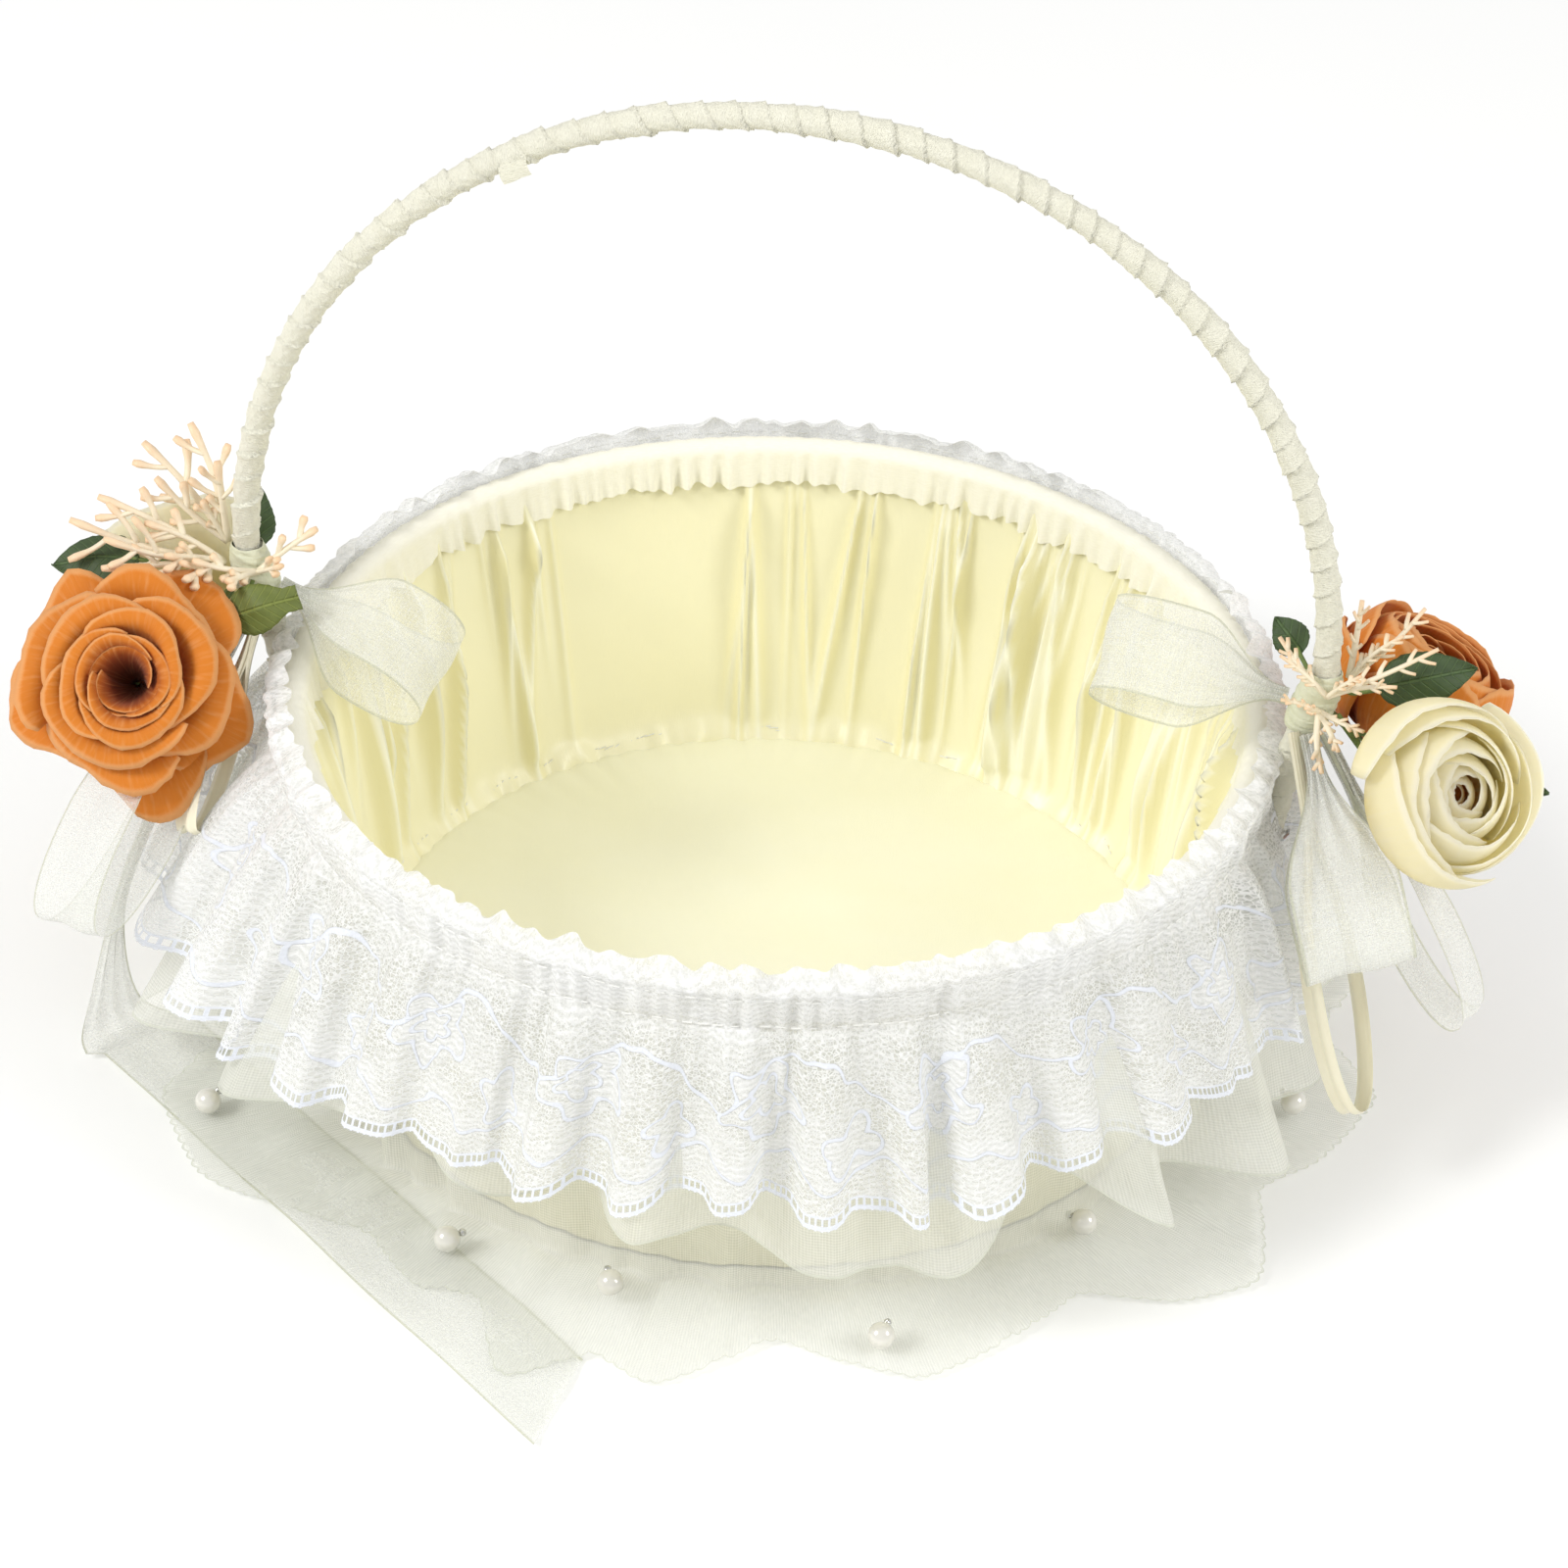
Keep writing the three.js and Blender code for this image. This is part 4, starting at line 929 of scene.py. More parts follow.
TAB_PLACE = -60.0
TAB_LENGTH = 4.8
TAB_WIDTH = 7.0
tab_start = int(np.argmin(np.abs(line_x - TAB_PLACE) - 0.01 * line_z))
tab_across = np.linspace(-0.5, 0.5, 9)[None, :]
tab_down = shares_down(9)
tab_slope = slope[tab_start]
tab_points = np.stack(np.broadcast_arrays(
    line_x[tab_start] + math.cos(tab_slope) * TAB_WIDTH * tab_across + 1.4 * tab_down ** 2,
    -2.95 - 0.7 * np.sin(2.6 * tab_down) + 0.2 * np.sin(9 * tab_across),
    line_z[tab_start] + math.sin(tab_slope) * TAB_WIDTH * tab_across + 0.3 - TAB_LENGTH * tab_down,
), -1)
tab = sheet_mesh("crepe_end_tab", tab_points, cloth_places(9, 8, TAB_WIDTH, TAB_LENGTH), crepe)
fit(tab, "crepe")


# The stitching: white thread in two rows of running stitches that hold the lace to the band, and a
# rough overcast row where the lining meets the floor pad. One stitch is repeated along each row.

def stitch_tree(finish):
    """Repeats a short thread along a line, with a Spacing, Length, Thickness and Slant."""
    tree = bpy.data.node_groups.new("stitch_row", "GeometryNodeTree")
    tree.interface.new_socket("Geometry", in_out="INPUT", socket_type="NodeSocketGeometry")
    for name in ("Spacing", "Length", "Thickness", "Slant"):
        tree.interface.new_socket(name, in_out="INPUT", socket_type="NodeSocketFloat")
    tree.interface.new_socket("Geometry", in_out="OUTPUT", socket_type="NodeSocketGeometry")

    def node(kind, settings=None, **sockets):
        made = tree.nodes.new(kind)
        for key, value in (settings or {}).items():
            setattr(made, key, value)
        for key, value in sockets.items():
            target = made.inputs[key.replace("_", " ")]
            if isinstance(value, bpy.types.NodeSocket):
                tree.links.new(value, target)
            else:
                target.default_value = value
        return made

    given = node("NodeGroupInput")
    line = node("GeometryNodeMeshToCurve", Mesh=given.outputs["Geometry"])
    row = node(
        "GeometryNodeResampleCurve", {"mode": "LENGTH"},
        Curve=line.outputs[0], Length=given.outputs["Spacing"],
    )
    thread = node(
        "GeometryNodeMeshCylinder", Vertices=6, Side_Segments=3,
        Radius=given.outputs["Thickness"], Depth=given.outputs["Length"],
    )
    along = node("GeometryNodeInputTangent")
    turn = node("FunctionNodeAlignRotationToVector", {"axis": "Z"}, Vector=along.outputs[0])
    slanted = node("ShaderNodeCombineXYZ", X=given.outputs["Slant"])
    tilt = node("FunctionNodeEulerToRotation", Euler=slanted.outputs[0])
    both = node("FunctionNodeRotateRotation", Rotation=turn.outputs[0], Rotate_By=tilt.outputs[0])
    placed = node(
        "GeometryNodeInstanceOnPoints", Points=row.outputs[0], Instance=thread.outputs["Mesh"],
        Rotation=both.outputs[0],
    )
    real = node("GeometryNodeRealizeInstances", Geometry=placed.outputs[0])
    coated = node("GeometryNodeSetMaterial", Geometry=real.outputs[0], Material=finish)
    node("NodeGroupOutput", Geometry=coated.outputs[0])
    return tree


def stitch_row(name, tree, points, spacing, length, thickness, slant=0.0):
    """A row of stitches along a closed line of points, as one plain mesh."""
    count = len(points)
    mesh = bpy.data.meshes.new(name)
    mesh.from_pydata((points * MM).tolist(), [(i, (i + 1) % count) for i in range(count)], [])
    guide = bpy.data.objects.new(name + "_line", mesh)
    scene.collection.objects.link(guide)
    change = guide.modifiers.new("stitches", "NODES")
    change.node_group = tree
    inputs = {item.name: item.identifier for item in tree.interface.items_tree if item.in_out == "INPUT"}
    sizes = {"Spacing": spacing * MM, "Length": length * MM, "Thickness": thickness * MM, "Slant": slant}
    for key, value in sizes.items():
        change[inputs[key]] = value
    done = guide.evaluated_get(bpy.context.evaluated_depsgraph_get())
    stitches = bpy.data.objects.new(name, bpy.data.meshes.new_from_object(done))
    bpy.data.objects.remove(guide)
    scene.collection.objects.link(stitches)
    return stitches


thread = grained_finish(
    "white_thread", 4000.0, 2.0, (0.80, 0.80, 0.76), (0.93, 0.93, 0.90), 0.5, relief=0.04,
)
stitches_round = stitch_tree(thread)
SEAM_SPACING = 3.3
SEAM_STITCH = 2.1
OVERCAST_SPACING = 1.9
OVERCAST_STITCH = 2.4
THREAD_RADIUS = 0.16
seam_angle = angles_round(700)[0]
for name, seam_height, stand in (
    ("upper_lace_stitches", BAND_HIGH_SEAM - 0.5, LACE_STAND + 0.35),
    ("lower_lace_stitches", BAND_LOW_SEAM + 0.5, LACE_STAND + 0.55),
):
    wander = 0.2 * waves(seam_angle, 85, 15, 60, 6)
    seam = round_points(seam_angle, wall_radius(seam_height) + stand, seam_height + wander)
    stitches = stitch_row(name, stitches_round, seam, SEAM_SPACING, SEAM_STITCH, THREAD_RADIUS)
    fit(stitches, "lace")
seam = round_points(
    seam_angle, PAD_RADIUS + 0.2 + 0.3 * waves(seam_angle, 86, 20, 70, 6),
    PAD_TOP_HEIGHT + 1.0 + 0.7 * waves(seam_angle, 87, 14, 60, 8),
)
overcast = stitch_row(
    "pad_overcast_stitches", stitches_round, seam, OVERCAST_SPACING, OVERCAST_STITCH, 0.17, slant=0.9,
)
fit(overcast, "satin")


# The pearls: twelve glossy faux pearls, each sewn near a petal's edge with a tiny silver seed bead
# beside it.

PEARL_COUNT = 12
SEED_RADIUS = 0.9


def patches_mesh(name, patches, finish, closed=True):
    """One piece from smooth patches. Each is rows of points, their places on the cloth and their tones."""
    corners, faces, cloths, tones = [], [], [], []
    first = 0
    for points, cloth, tone in patches:
        rows, columns = points.shape[:2]
        i, j = np.meshgrid(np.arange(rows - 1), np.arange(columns - 1), indexing="ij")
        ring = np.stack(
            [i * columns + j, (i + 1) * columns + j, (i + 1) * columns + j + 1, i * columns + j + 1], -1,
        ).reshape(-1, 4)
        corners.append(points.reshape(-1, 3))
        faces.append(ring + first)
        cloths.append(np.broadcast_to(cloth, (rows, columns, 2)).reshape(-1, 2)[ring])
        tones.append(np.broadcast_to(tone, (rows, columns, 2)).reshape(-1, 2)[ring])
        first += rows * columns
    layers = {"cloth": np.concatenate(cloths), "tone": np.concatenate(tones)}
    piece = new_piece(name, np.concatenate(corners), np.concatenate(faces), layers, finish)
    if closed:
        weld(piece, 0.0005, outwards=True)
    piece.data.shade_smooth()
    return piece


def grid(rows, columns, left=0.0):
    """Two even measures over a patch: down its rows, and across its columns from left to 1."""
    return np.meshgrid(np.linspace(0, 1, rows), np.linspace(left, 1, columns), indexing="ij")


def ball(centre, radius, rows=20, columns=32):
    """A round bead as one patch, with a pole at each end."""
    down, across = grid(rows, columns + 1)
    ring = np.sin(np.pi * down)
    place = np.stack([
        ring * np.cos(TURN * across), ring * np.sin(TURN * across), np.cos(np.pi * down),
    ], -1)
    measures = np.stack([across, down], -1)
    return place * radius + centre, measures * radius, measures


def pearl_finish():
    finish = Finish("faux_pearl")
    clouds = finish.solid_grain(260.0)
    colour = finish.blend(clouds, (0.70, 0.68, 0.60), (0.86, 0.84, 0.77))
    return finish.surface(
        colour, 0.16 + clouds * 0.06, Coat_Weight=0.9, Coat_Roughness=0.05, Metallic=0.25,
        Sheen_Weight=0.3, Specular_IOR_Level=0.7,
    )


def seed_finish():
    finish = Finish("silver_seed_bead")
    facets_and_glints = finish.cells(2200.0)
    # Painted reflections: the facets are coloured dark and light in turn, beside their real bumps.
    colour = finish.blend(facets_and_glints, (0.45, 0.45, 0.43), (0.85, 0.85, 0.83))
    return finish.surface(colour, 0.12, height=facets_and_glints, relief=0.2, Metallic=1.0)


pearl_coat = pearl_finish()
seed_coat = seed_finish()
for number in range(1, PEARL_COUNT + 1):
    node = f"pearl_{number:02d}"
    low, high = box_corners(node)
    centre = (low + high) / 2
    size = (high[2] - low[2]) / 2
    pearl = patches_mesh(f"sewn_{node}", [ball(centre, size)], pearl_coat)
    fit(pearl, "pearl", node)
    turn = math.atan2(centre[1], centre[0]) + (0.5 if number % 2 else -0.6)
    offset = np.array([-math.cos(turn), -math.sin(turn), 0.25]) * (size + SEED_RADIUS * 0.6)
    seed = patches_mesh(f"seed_bead_{number:02d}", [ball(centre + offset, SEED_RADIUS, 9, 12)], seed_coat)
    fit(seed, "steel")


# The roses and the ranunculus: each head is a stack of cut silk petals on a wire stem, rolled tight at
# the heart and spreading outwards, with a green calyx behind. The cut edges fray a little.

UPWARDS = np.array([0.0, 0.0, 1.0])
BUD_FLATNESS = 0.9


def unit(vector):
    vector = np.asarray(vector, float)
    return vector / np.linalg.norm(vector, axis=-1, keepdims=True)


def facing_frame(facing):
    """Three axes whose third looks along facing and whose first is level."""
    ahead = unit(facing)
    level = unit(np.cross(UPWARDS, ahead))
    return np.stack([level, np.cross(ahead, level), ahead])


def petal(turn, span, profile, chance, rounding, lap, ripple, tone, point=0.0):
    """A cut petal round a flower's axis. profile gives its distance from the axis and its height."""
    down, across = grid(16, 23, -1)
    fray = 1 + chance.uniform(-0.012, 0.012, across.shape) * (down > 0.97)
    rise = down * (1 - rounding * abs(across) ** 3.2 + point * np.clip(1 - 1.6 * abs(across), 0, 1) ** 1.5)
    rise = rise * fray
    radius, height = profile(rise)
    size = radius.max()
    phase = chance.uniform(0, TURN)
    wave = np.sin(3.4 * across + phase) + 0.6 * np.sin(7.1 * across + 2 * phase)
    radius = radius * (1 + lap * across) + ripple * size * wave * rise ** 2
    height = height + ripple * size * 0.8 * np.cos(2.9 * across + phase) * rise ** 2
    angle = turn + span * across * (0.6 + 0.4 * np.clip(rise, 0, 1) ** 0.5)
    points = np.stack([radius * np.cos(angle), radius * np.sin(angle), height], -1)
    points[..., :2] += chance.normal(0, 0.035 * size, 2)
    cloth = np.stack([across * span * size + 50, down * size * 1.3], -1)
    return points, cloth, np.stack([down, np.full_like(down, tone)], -1)


def opening_profile(foot, rim, curl, roundness):
    """A petal that stands up from its foot and rolls outwards at the rim: (radius, height) pairs."""
    def profile(rise):
        roll = np.clip((rise - 0.74) / 0.26, 0, 1.2)
        radius = foot[0] + (rim[0] - foot[0]) * np.clip(rise, 0, 1.3) ** roundness + curl * roll ** 1.6
        height = foot[1] + (rim[1] - foot[1]) * np.sin(np.clip(rise, 0, 1) * np.pi / 2)
        height = height - 0.9 * curl * roll ** 2
        return radius, height
    return profile


def wrapping_profile(size, start, end):
    """A petal that wraps a slightly flat ball of this size, from one polar angle to another."""
    def profile(rise):
        polar = start + (end - start) * rise
        return size * np.sin(polar), -size * BUD_FLATNESS * np.cos(polar)
    return profile


def petal_finish(name, heart, painted_shade, body, edge, glow):
    """Silk: dark towards the heart, the foot and the inner petals, partly its own deeper colour at the heart
    and partly painted shade deep in the flower, streaked along the petal, pale at the cut edge.
    """
    finish = Finish(name)
    rise, layer = finish.measures("tone")
    across, down = finish.along_cloth()
    streaks = finish.grain(across * 0.9, down * 0.12, 0.0, 3.0)
    blots = finish.grain(across * 0.12, down * 0.12, 3.0)
    weave = finish.grain(across * 5.0, down * 5.0)
    veins = finish.grain(across * 0.5, down * 0.03, 8.0, 1.0)
    # Painted shade: the colour goes dark towards the foot and on the inner petals, where shade falls deep in
    # the flower.
    painted_lit_share = (rise * 0.9 + layer * 1.9 - 0.45 + streaks * 0.25).step(0.0, 0.95)
    inner = finish.blend(painted_lit_share, heart, painted_shade)
    colour = finish.blend((rise + blots * 0.8 + layer * 0.3 - 0.6).step(0.0, 0.9) * painted_lit_share, inner, body)
    colour = finish.blend(streaks.step(0.45, 0.85) * 0.5, colour, edge)
    colour = finish.blend((rise + weave * 0.04).step(0.955, 0.995) * 0.75, colour, edge)
    return finish.surface(
        colour, 0.62 + weave * 0.12, height=veins * 0.7 + weave * 0.15, relief=0.4, glow=glow,
        Sheen_Weight=0.1, Sheen_Roughness=0.5, Specular_IOR_Level=0.25,
    )


# The first two colours of each silk are dark: partly the flower's own deeper colour at the heart, partly
# painted shade deep in the flower.
SILKS = {
    "orange_silk": petal_finish(
        "orange_silk", (0.34, 0.070, 0.010), (0.46, 0.085, 0.006), (0.74, 0.23, 0.022), (0.86, 0.44, 0.17),
        0.17,
    ),
    "ivory_silk": petal_finish(
        "ivory_silk", (0.86, 0.46, 0.16), (0.98, 0.90, 0.54), (1.0, 0.97, 0.82), (1.0, 0.98, 0.90), 0.70,
    ),
}
PETAL_THICKNESS = 0.22
OUTER_TONE = 0.9


def thicken(piece, thickness):
    """Gives thin cloth its thickness, in millimetres, half to each side."""
    change = piece.modifiers.new("thickness", "SOLIDIFY")
    change.thickness = thickness * MM
    change.offset = 0


def flower_head(name, petals, middle, facing, slot):
    """Moves a flower's petals to their place, gives the silk its thickness and fits the head."""
    axes = facing_frame(facing)
    placed = [(np.array(middle) + points @ axes, cloth, tone) for points, cloth, tone in petals]
    head = patches_mesh(f"{name}_petals", placed, SILKS[slot], closed=False)
    thicken(head, PETAL_THICKNESS)
    fit(head, slot, name)


def open_rose(radius, seed):
    """Rings from the rolled heart outwards: petals, first turn, half span, foot, rim, curl and tone."""
    chance = np.random.default_rng(seed)
    # The tone column also darkens the inner rings' colour, as painted shade deep in the flower.
    rings = (
        (2, -40, 165, (0.02, -0.55), (0.30, 0.34), 0.010, 0.00),
        (3, 25, 105, (0.12, -0.35), (0.38, 0.44), 0.035, 0.15),
        (3, -75, 92, (0.14, -0.36), (0.53, 0.46), 0.060, 0.38),
        (3, 10, 84, (0.16, -0.38), (0.68, 0.36), 0.090, 0.58),
        (4, 60, 62, (0.18, -0.42), (0.82, 0.18), 0.110, 0.78),
        (5, -20, 50, (0.18, -0.46), (0.92, -0.04), 0.110, 0.98),
    )
    petals = []
    for count, first, span, foot, rim, curl, tone in rings:
        for number in range(count):
            turn = math.radians(first + 360 / count * number + chance.uniform(-9, 9))
            scale = radius * chance.uniform(0.96, 1.04)
            outer = tone > OUTER_TONE
            profile = opening_profile(
                np.array(foot) * scale, np.array(rim) * scale, curl * scale, 0.7 if tone < 0.3 else 0.85,
            )
            petals.append(petal(
                turn, math.radians(span), profile, chance, rounding=0.34 if outer else 0.20,
                lap=0.14, ripple=0.060 if outer else 0.045, tone=tone, point=0.12 if outer else 0.0,
            ))
    return petals


def wrapped_bud(radius, seed, layers):
    """Round petals that wrap each other: count, half span, size, start and end angle, and tone."""
    chance = np.random.default_rng(seed)
    petals = []
    for count, first, span, size, start, end, tone in layers:
        for number in range(count):
            turn = math.radians(first + 360 / count * number + chance.uniform(-10, 10))
            scale = radius * size * chance.uniform(0.97, 1.03)
            profile = wrapping_profile(scale, math.radians(start), math.radians(end))
            petals.append(petal(
                turn, math.radians(span), profile, chance, rounding=0.22, lap=0.055, ripple=0.018, tone=tone,
            ))
    return petals


# The last column, tone, also darkens the inner layers' colour, as painted shade deep in the flower.
BUD_LAYERS = (
    (2, 0, 150, 0.16, 40, 150, 0.00),
    (3, 50, 100, 0.27, 38, 160, 0.12),
    (3, -20, 95, 0.38, 34, 154, 0.25),
    (3, 35, 92, 0.50, 30, 147, 0.40),
    (3, 80, 88, 0.62, 27, 140, 0.55),
    (3, 10, 84, 0.74, 24, 132, 0.70),
    (3, 65, 80, 0.85, 22, 124, 0.85),
    (3, -30, 80, 0.96, 20, 116, 0.98),
)
FULL_LAYERS = BUD_LAYERS[:-1] + (
    (4, 40, 56, 0.94, 20, 122, 0.85),
    (5, 0, 44, 1.02, 18, 98, 1.0),
)
for flower in (
    ("left_orange_rose", open_rose(25.5, 91), (-142, -33, 91), (0.13, -0.8, 0.58), "orange_silk"),
    ("left_ivory_rose", wrapped_bud(22, 92, BUD_LAYERS), (-146.6, 17, 92), (-0.45, 0.6, 0.66), "ivory_silk"),
    (
        "right_ivory_rose", wrapped_bud(21, 93, BUD_LAYERS), (153.2, -20, 94.9), (0.55, -0.62, 0.56),
        "ivory_silk",
    ),
    (
        "right_orange_rose", wrapped_bud(21.5, 94, FULL_LAYERS), (144.2, 24.8, 94.5), (0.45, 0.25, 0.85),
        "orange_silk",
    ),
):
    flower_head(*flower)


calyx_green = grained_finish(
    "calyx_green", 700.0, 3.0, (0.06, 0.10, 0.02), (0.20, 0.27, 0.07), 0.6, 0.15, 0.1,
)
cane = grained_finish("peeled_cane", 700.0, 3.0, (0.48, 0.30, 0.12), (0.72, 0.52, 0.27), 0.6, 0.15, 0.1)
for side_name in ("left", "right"):
    for flower in ("orange_rose", "ivory_rose"):
        dress(f"{side_name}_{flower}_calyx", calyx_green)
dress("handle_core", cane)


# The stem tape: waxed crepe florist's tape, pale green, wound round each leg over the ends of the stems
# and ribbons. It starts and ends on the handle's own winding, so that the bundle tapers both ways.

TAPE_FOOT_HEIGHT = 95.0
TAPE_HEAD_HEIGHT = 110.0
TAPE_LAP = 2.4
TAPE_SIDES = 48
TAPE_ROWS = 90


def tape_finish():
    finish = Finish("florists_tape")
    crepe_grain = finish.solid_grain(900.0, 3.0)
    soft = finish.solid_grain(160.0)
    colour = finish.blend(soft * 0.6 + crepe_grain * 0.4, (0.52, 0.54, 0.36), (0.80, 0.80, 0.64))
    return finish.surface(colour, 0.7, height=crepe_grain, relief=0.3)


tape = tape_finish()
tape_turn = angles_round(TAPE_SIDES)
tape_height = np.linspace(TAPE_FOOT_HEIGHT, TAPE_HEAD_HEIGHT, TAPE_ROWS)[:, None]
tape_share = (tape_height - TAPE_FOOT_HEIGHT) / (TAPE_HEAD_HEIGHT - TAPE_FOOT_HEIGHT)
tape_lap = (tape_height / TAPE_LAP + tape_turn / TURN) % 1.0
tape_body = WRAP_RADIUS + 0.15 + 1.5 * np.sin(np.pi * tape_share ** 0.8) ** 0.6 + 0.25 * (1 - tape_share)
tape_round = tape_body + 0.28 * tape_lap + 0.10 * np.sin(5 * tape_turn + 3 * tape_height)
for side_name, side in (("left", -1), ("right", 1)):
    tape_middle = side * leg_reach(tape_height)
    tape_piece = sheet_mesh(
        f"{side_name}_wound_tape", np.stack(np.broadcast_arrays(
            tape_middle + tape_round * np.cos(tape_turn), tape_round * np.sin(tape_turn), tape_height,
        ), -1)[::-1], cloth_places(TAPE_ROWS, TAPE_SIDES, 30, 15), tape, around=True,
    )
    fit(tape_piece, "tape", f"{side_name}_stem_tape")


# The leaves: dark green printed cloth, stamped with a midrib and veins and cut with small teeth, each
# on its own short wire.

TAPE_REACH = 6.2


def on_tape(side, degrees, height):
    """A place on a cluster's tape, at an angle from straight outwards."""
    angle = math.radians(degrees)
    out = float(leg_reach(np.array(height))) + TAPE_REACH * math.cos(angle)
    return np.array([side * out, -TAPE_REACH * math.sin(angle), height])


def leaf_finish(name, dark, light):
    finish = Finish(name)
    across, down = finish.along_cloth()
    blots = finish.grain(across * 0.35, down * 0.35, 0.0, 3.0)
    weave = finish.grain(across * 6.0, down * 6.0)
    slanted = down - abs(across) * 0.9
    veins = 1.0 - abs((slanted * 1.35).sine()).step(0.10, 0.35)
    rib = 1.0 - abs(across).step(0.15, 0.5)
    colour = finish.blend(blots * 0.8 + weave * 0.2, dark, light)
    colour = finish.blend(veins.most(rib) * 0.35, colour, tuple(1.8 * part for part in light))
    return finish.surface(
        colour, 0.45 + weave * 0.2, height=weave * 0.2 - veins * 0.4 - rib, relief=0.35, glow=0.08,
    )


LEAF_THICKNESS = 0.3
WIRE_RADIUS = 0.55
dark_leaf = leaf_finish("dark_leaf", (0.022, 0.045, 0.014), (0.075, 0.125, 0.040))
olive_leaf = leaf_finish("olive_leaf", (0.085, 0.115, 0.018), (0.20, 0.235, 0.050))


TUBE_SIDES = 8


def tube_patch(points, radii, tone=(0.0, 1.0), squash=1.0):
    """A round stem along points, closed at both ends by drawing them in."""
    points = np.asarray(points, float)
    radii = np.asarray(radii, float)
    way = unit(np.gradient(points, axis=0))
    side = unit(np.cross(way, UPWARDS + np.array([0.01, 0.02, 0])))
    over = np.cross(side, way)
    points = np.concatenate([points[:1], points, points[-1:]])
    radii = np.concatenate([[0], radii, [0]])
    side = np.concatenate([side[:1], side, side[-1:]])[:, None]
    over = np.concatenate([over[:1], over, over[-1:]])[:, None]
    turn = np.linspace(0, TURN, TUBE_SIDES + 1)[None, :, None]
    ring = side * np.cos(turn) + over * np.sin(turn) * squash
    surface = points[:, None] + ring * radii[:, None, None]
    down, across = grid(len(points), TUBE_SIDES + 1)
    shades = np.stack([tone[0] + (tone[1] - tone[0]) * down, across], -1)
    return surface, np.stack([across * 5, down * 20], -1), shades


def leaf(name, side, foot, tip, width, face, tape_place, finish, bend=1.6, blunt=0.0):
    """A blade from foot to tip that faces one way, and the wire that joins it to the tape."""
    foot, tip = np.array(foot, float), np.array(tip, float)
    length = np.linalg.norm(tip - foot)
    way = (tip - foot) / length
    across_way = unit(np.cross(face, way))
    normal = np.cross(way, across_way)
    down, across = grid(25, 15, -1)
    outline = np.sin(np.pi * np.clip(down, 0, 1) ** 0.72) ** 0.8
    outline = np.maximum(outline, blunt * np.clip(down * 4, 0, 1))
    teeth = 1 + 0.07 * np.abs(np.sin(down * 26)) * (np.abs(across) > 0.9)
    reach = across * outline * width * 0.5 * teeth
    fold = 0.22 * np.abs(reach) - bend * np.sin(np.pi * down) + 0.5 * np.sin(9 * down + across * 2)
    points = foot + way * (down * length)[..., None] + across_way * reach[..., None]
    points = points - normal * fold[..., None]
    blade = points, np.stack([reach, down * length], -1), np.stack([down, across], -1)
    line = np.linspace(on_tape(side, *tape_place), foot + way * 2.0, 8)
    line[1:-1] -= UPWARDS * 0.6
    stalk = tube_patch(line, np.full(8, WIRE_RADIUS))
    piece = patches_mesh(f"{name}_blade", [blade], finish, closed=False)
    thicken(piece, LEAF_THICKNESS)
    fit(piece, "leaf", name)
    fit(patches_mesh(f"{name}_wire", [stalk], calyx_green), "leaf")


VIEWED = (0.13, -0.8, 0.58)
FLAT_LEAF = (0, -0.5, 0.85)
BACK_LEAF = (0, -0.8, 0.58)
leaf("left_front_leaf", -1, (-124, -15, 99), (-108, -12, 105), 11, VIEWED, (105, 104), olive_leaf, 2.2, 0.5)
leaf("left_side_leaf", -1, (-147, -5, 106), (-167, -8, 103), 13, FLAT_LEAF, (5, 104.5), dark_leaf)
leaf("left_back_leaf", -1, (-123.5, 9, 103), (-124, 17, 114), 8, BACK_LEAF, (-90, 103), dark_leaf)
leaf("right_front_leaf", 1, (134.5, -0.3, 107), (156, 5, 112), 12, VIEWED, (0, 105), dark_leaf, 2.4)
leaf("right_side_leaf", 1, (152, 5, 84), (175, 2, 83), 9, FLAT_LEAF, (-12, 96.5), dark_leaf)
leaf("right_back_leaf", 1, (117, 9, 108), (110, 13, 114), 8, BACK_LEAF, (-120, 106), dark_leaf)


# The sprigs: moulded soft plastic sprays, cream with peach ends. The left ones are flat forked twigs
# with rounded clubs; the right ones are thinner, with small barbs.

def sprig_finish():
    finish = Finish("moulded_sprig")
    rise = finish.measures("tone")[0]
    mottle = finish.solid_grain(500.0, 3.0)
    colour = finish.blend((rise + mottle * 0.3).step(0.72, 1.25), (0.97, 0.87, 0.66), (0.95, 0.60, 0.31))
    colour = finish.blend(mottle * 0.3, colour, (0.95, 0.89, 0.76))
    return finish.surface(colour, 0.38 + mottle * 0.12, height=mottle, relief=0.12, glow=0.15)


sprig_plastic = sprig_finish()


def bent_line(start, end, bow, count=12):
    """A line from start to end that bows sideways by a share of its length."""
    start, end = np.asarray(start, float), np.asarray(end, float)
    share = np.linspace(0, 1, count)[:, None]
    return start + (end - start) * share + np.asarray(bow) * np.sin(np.pi * share)


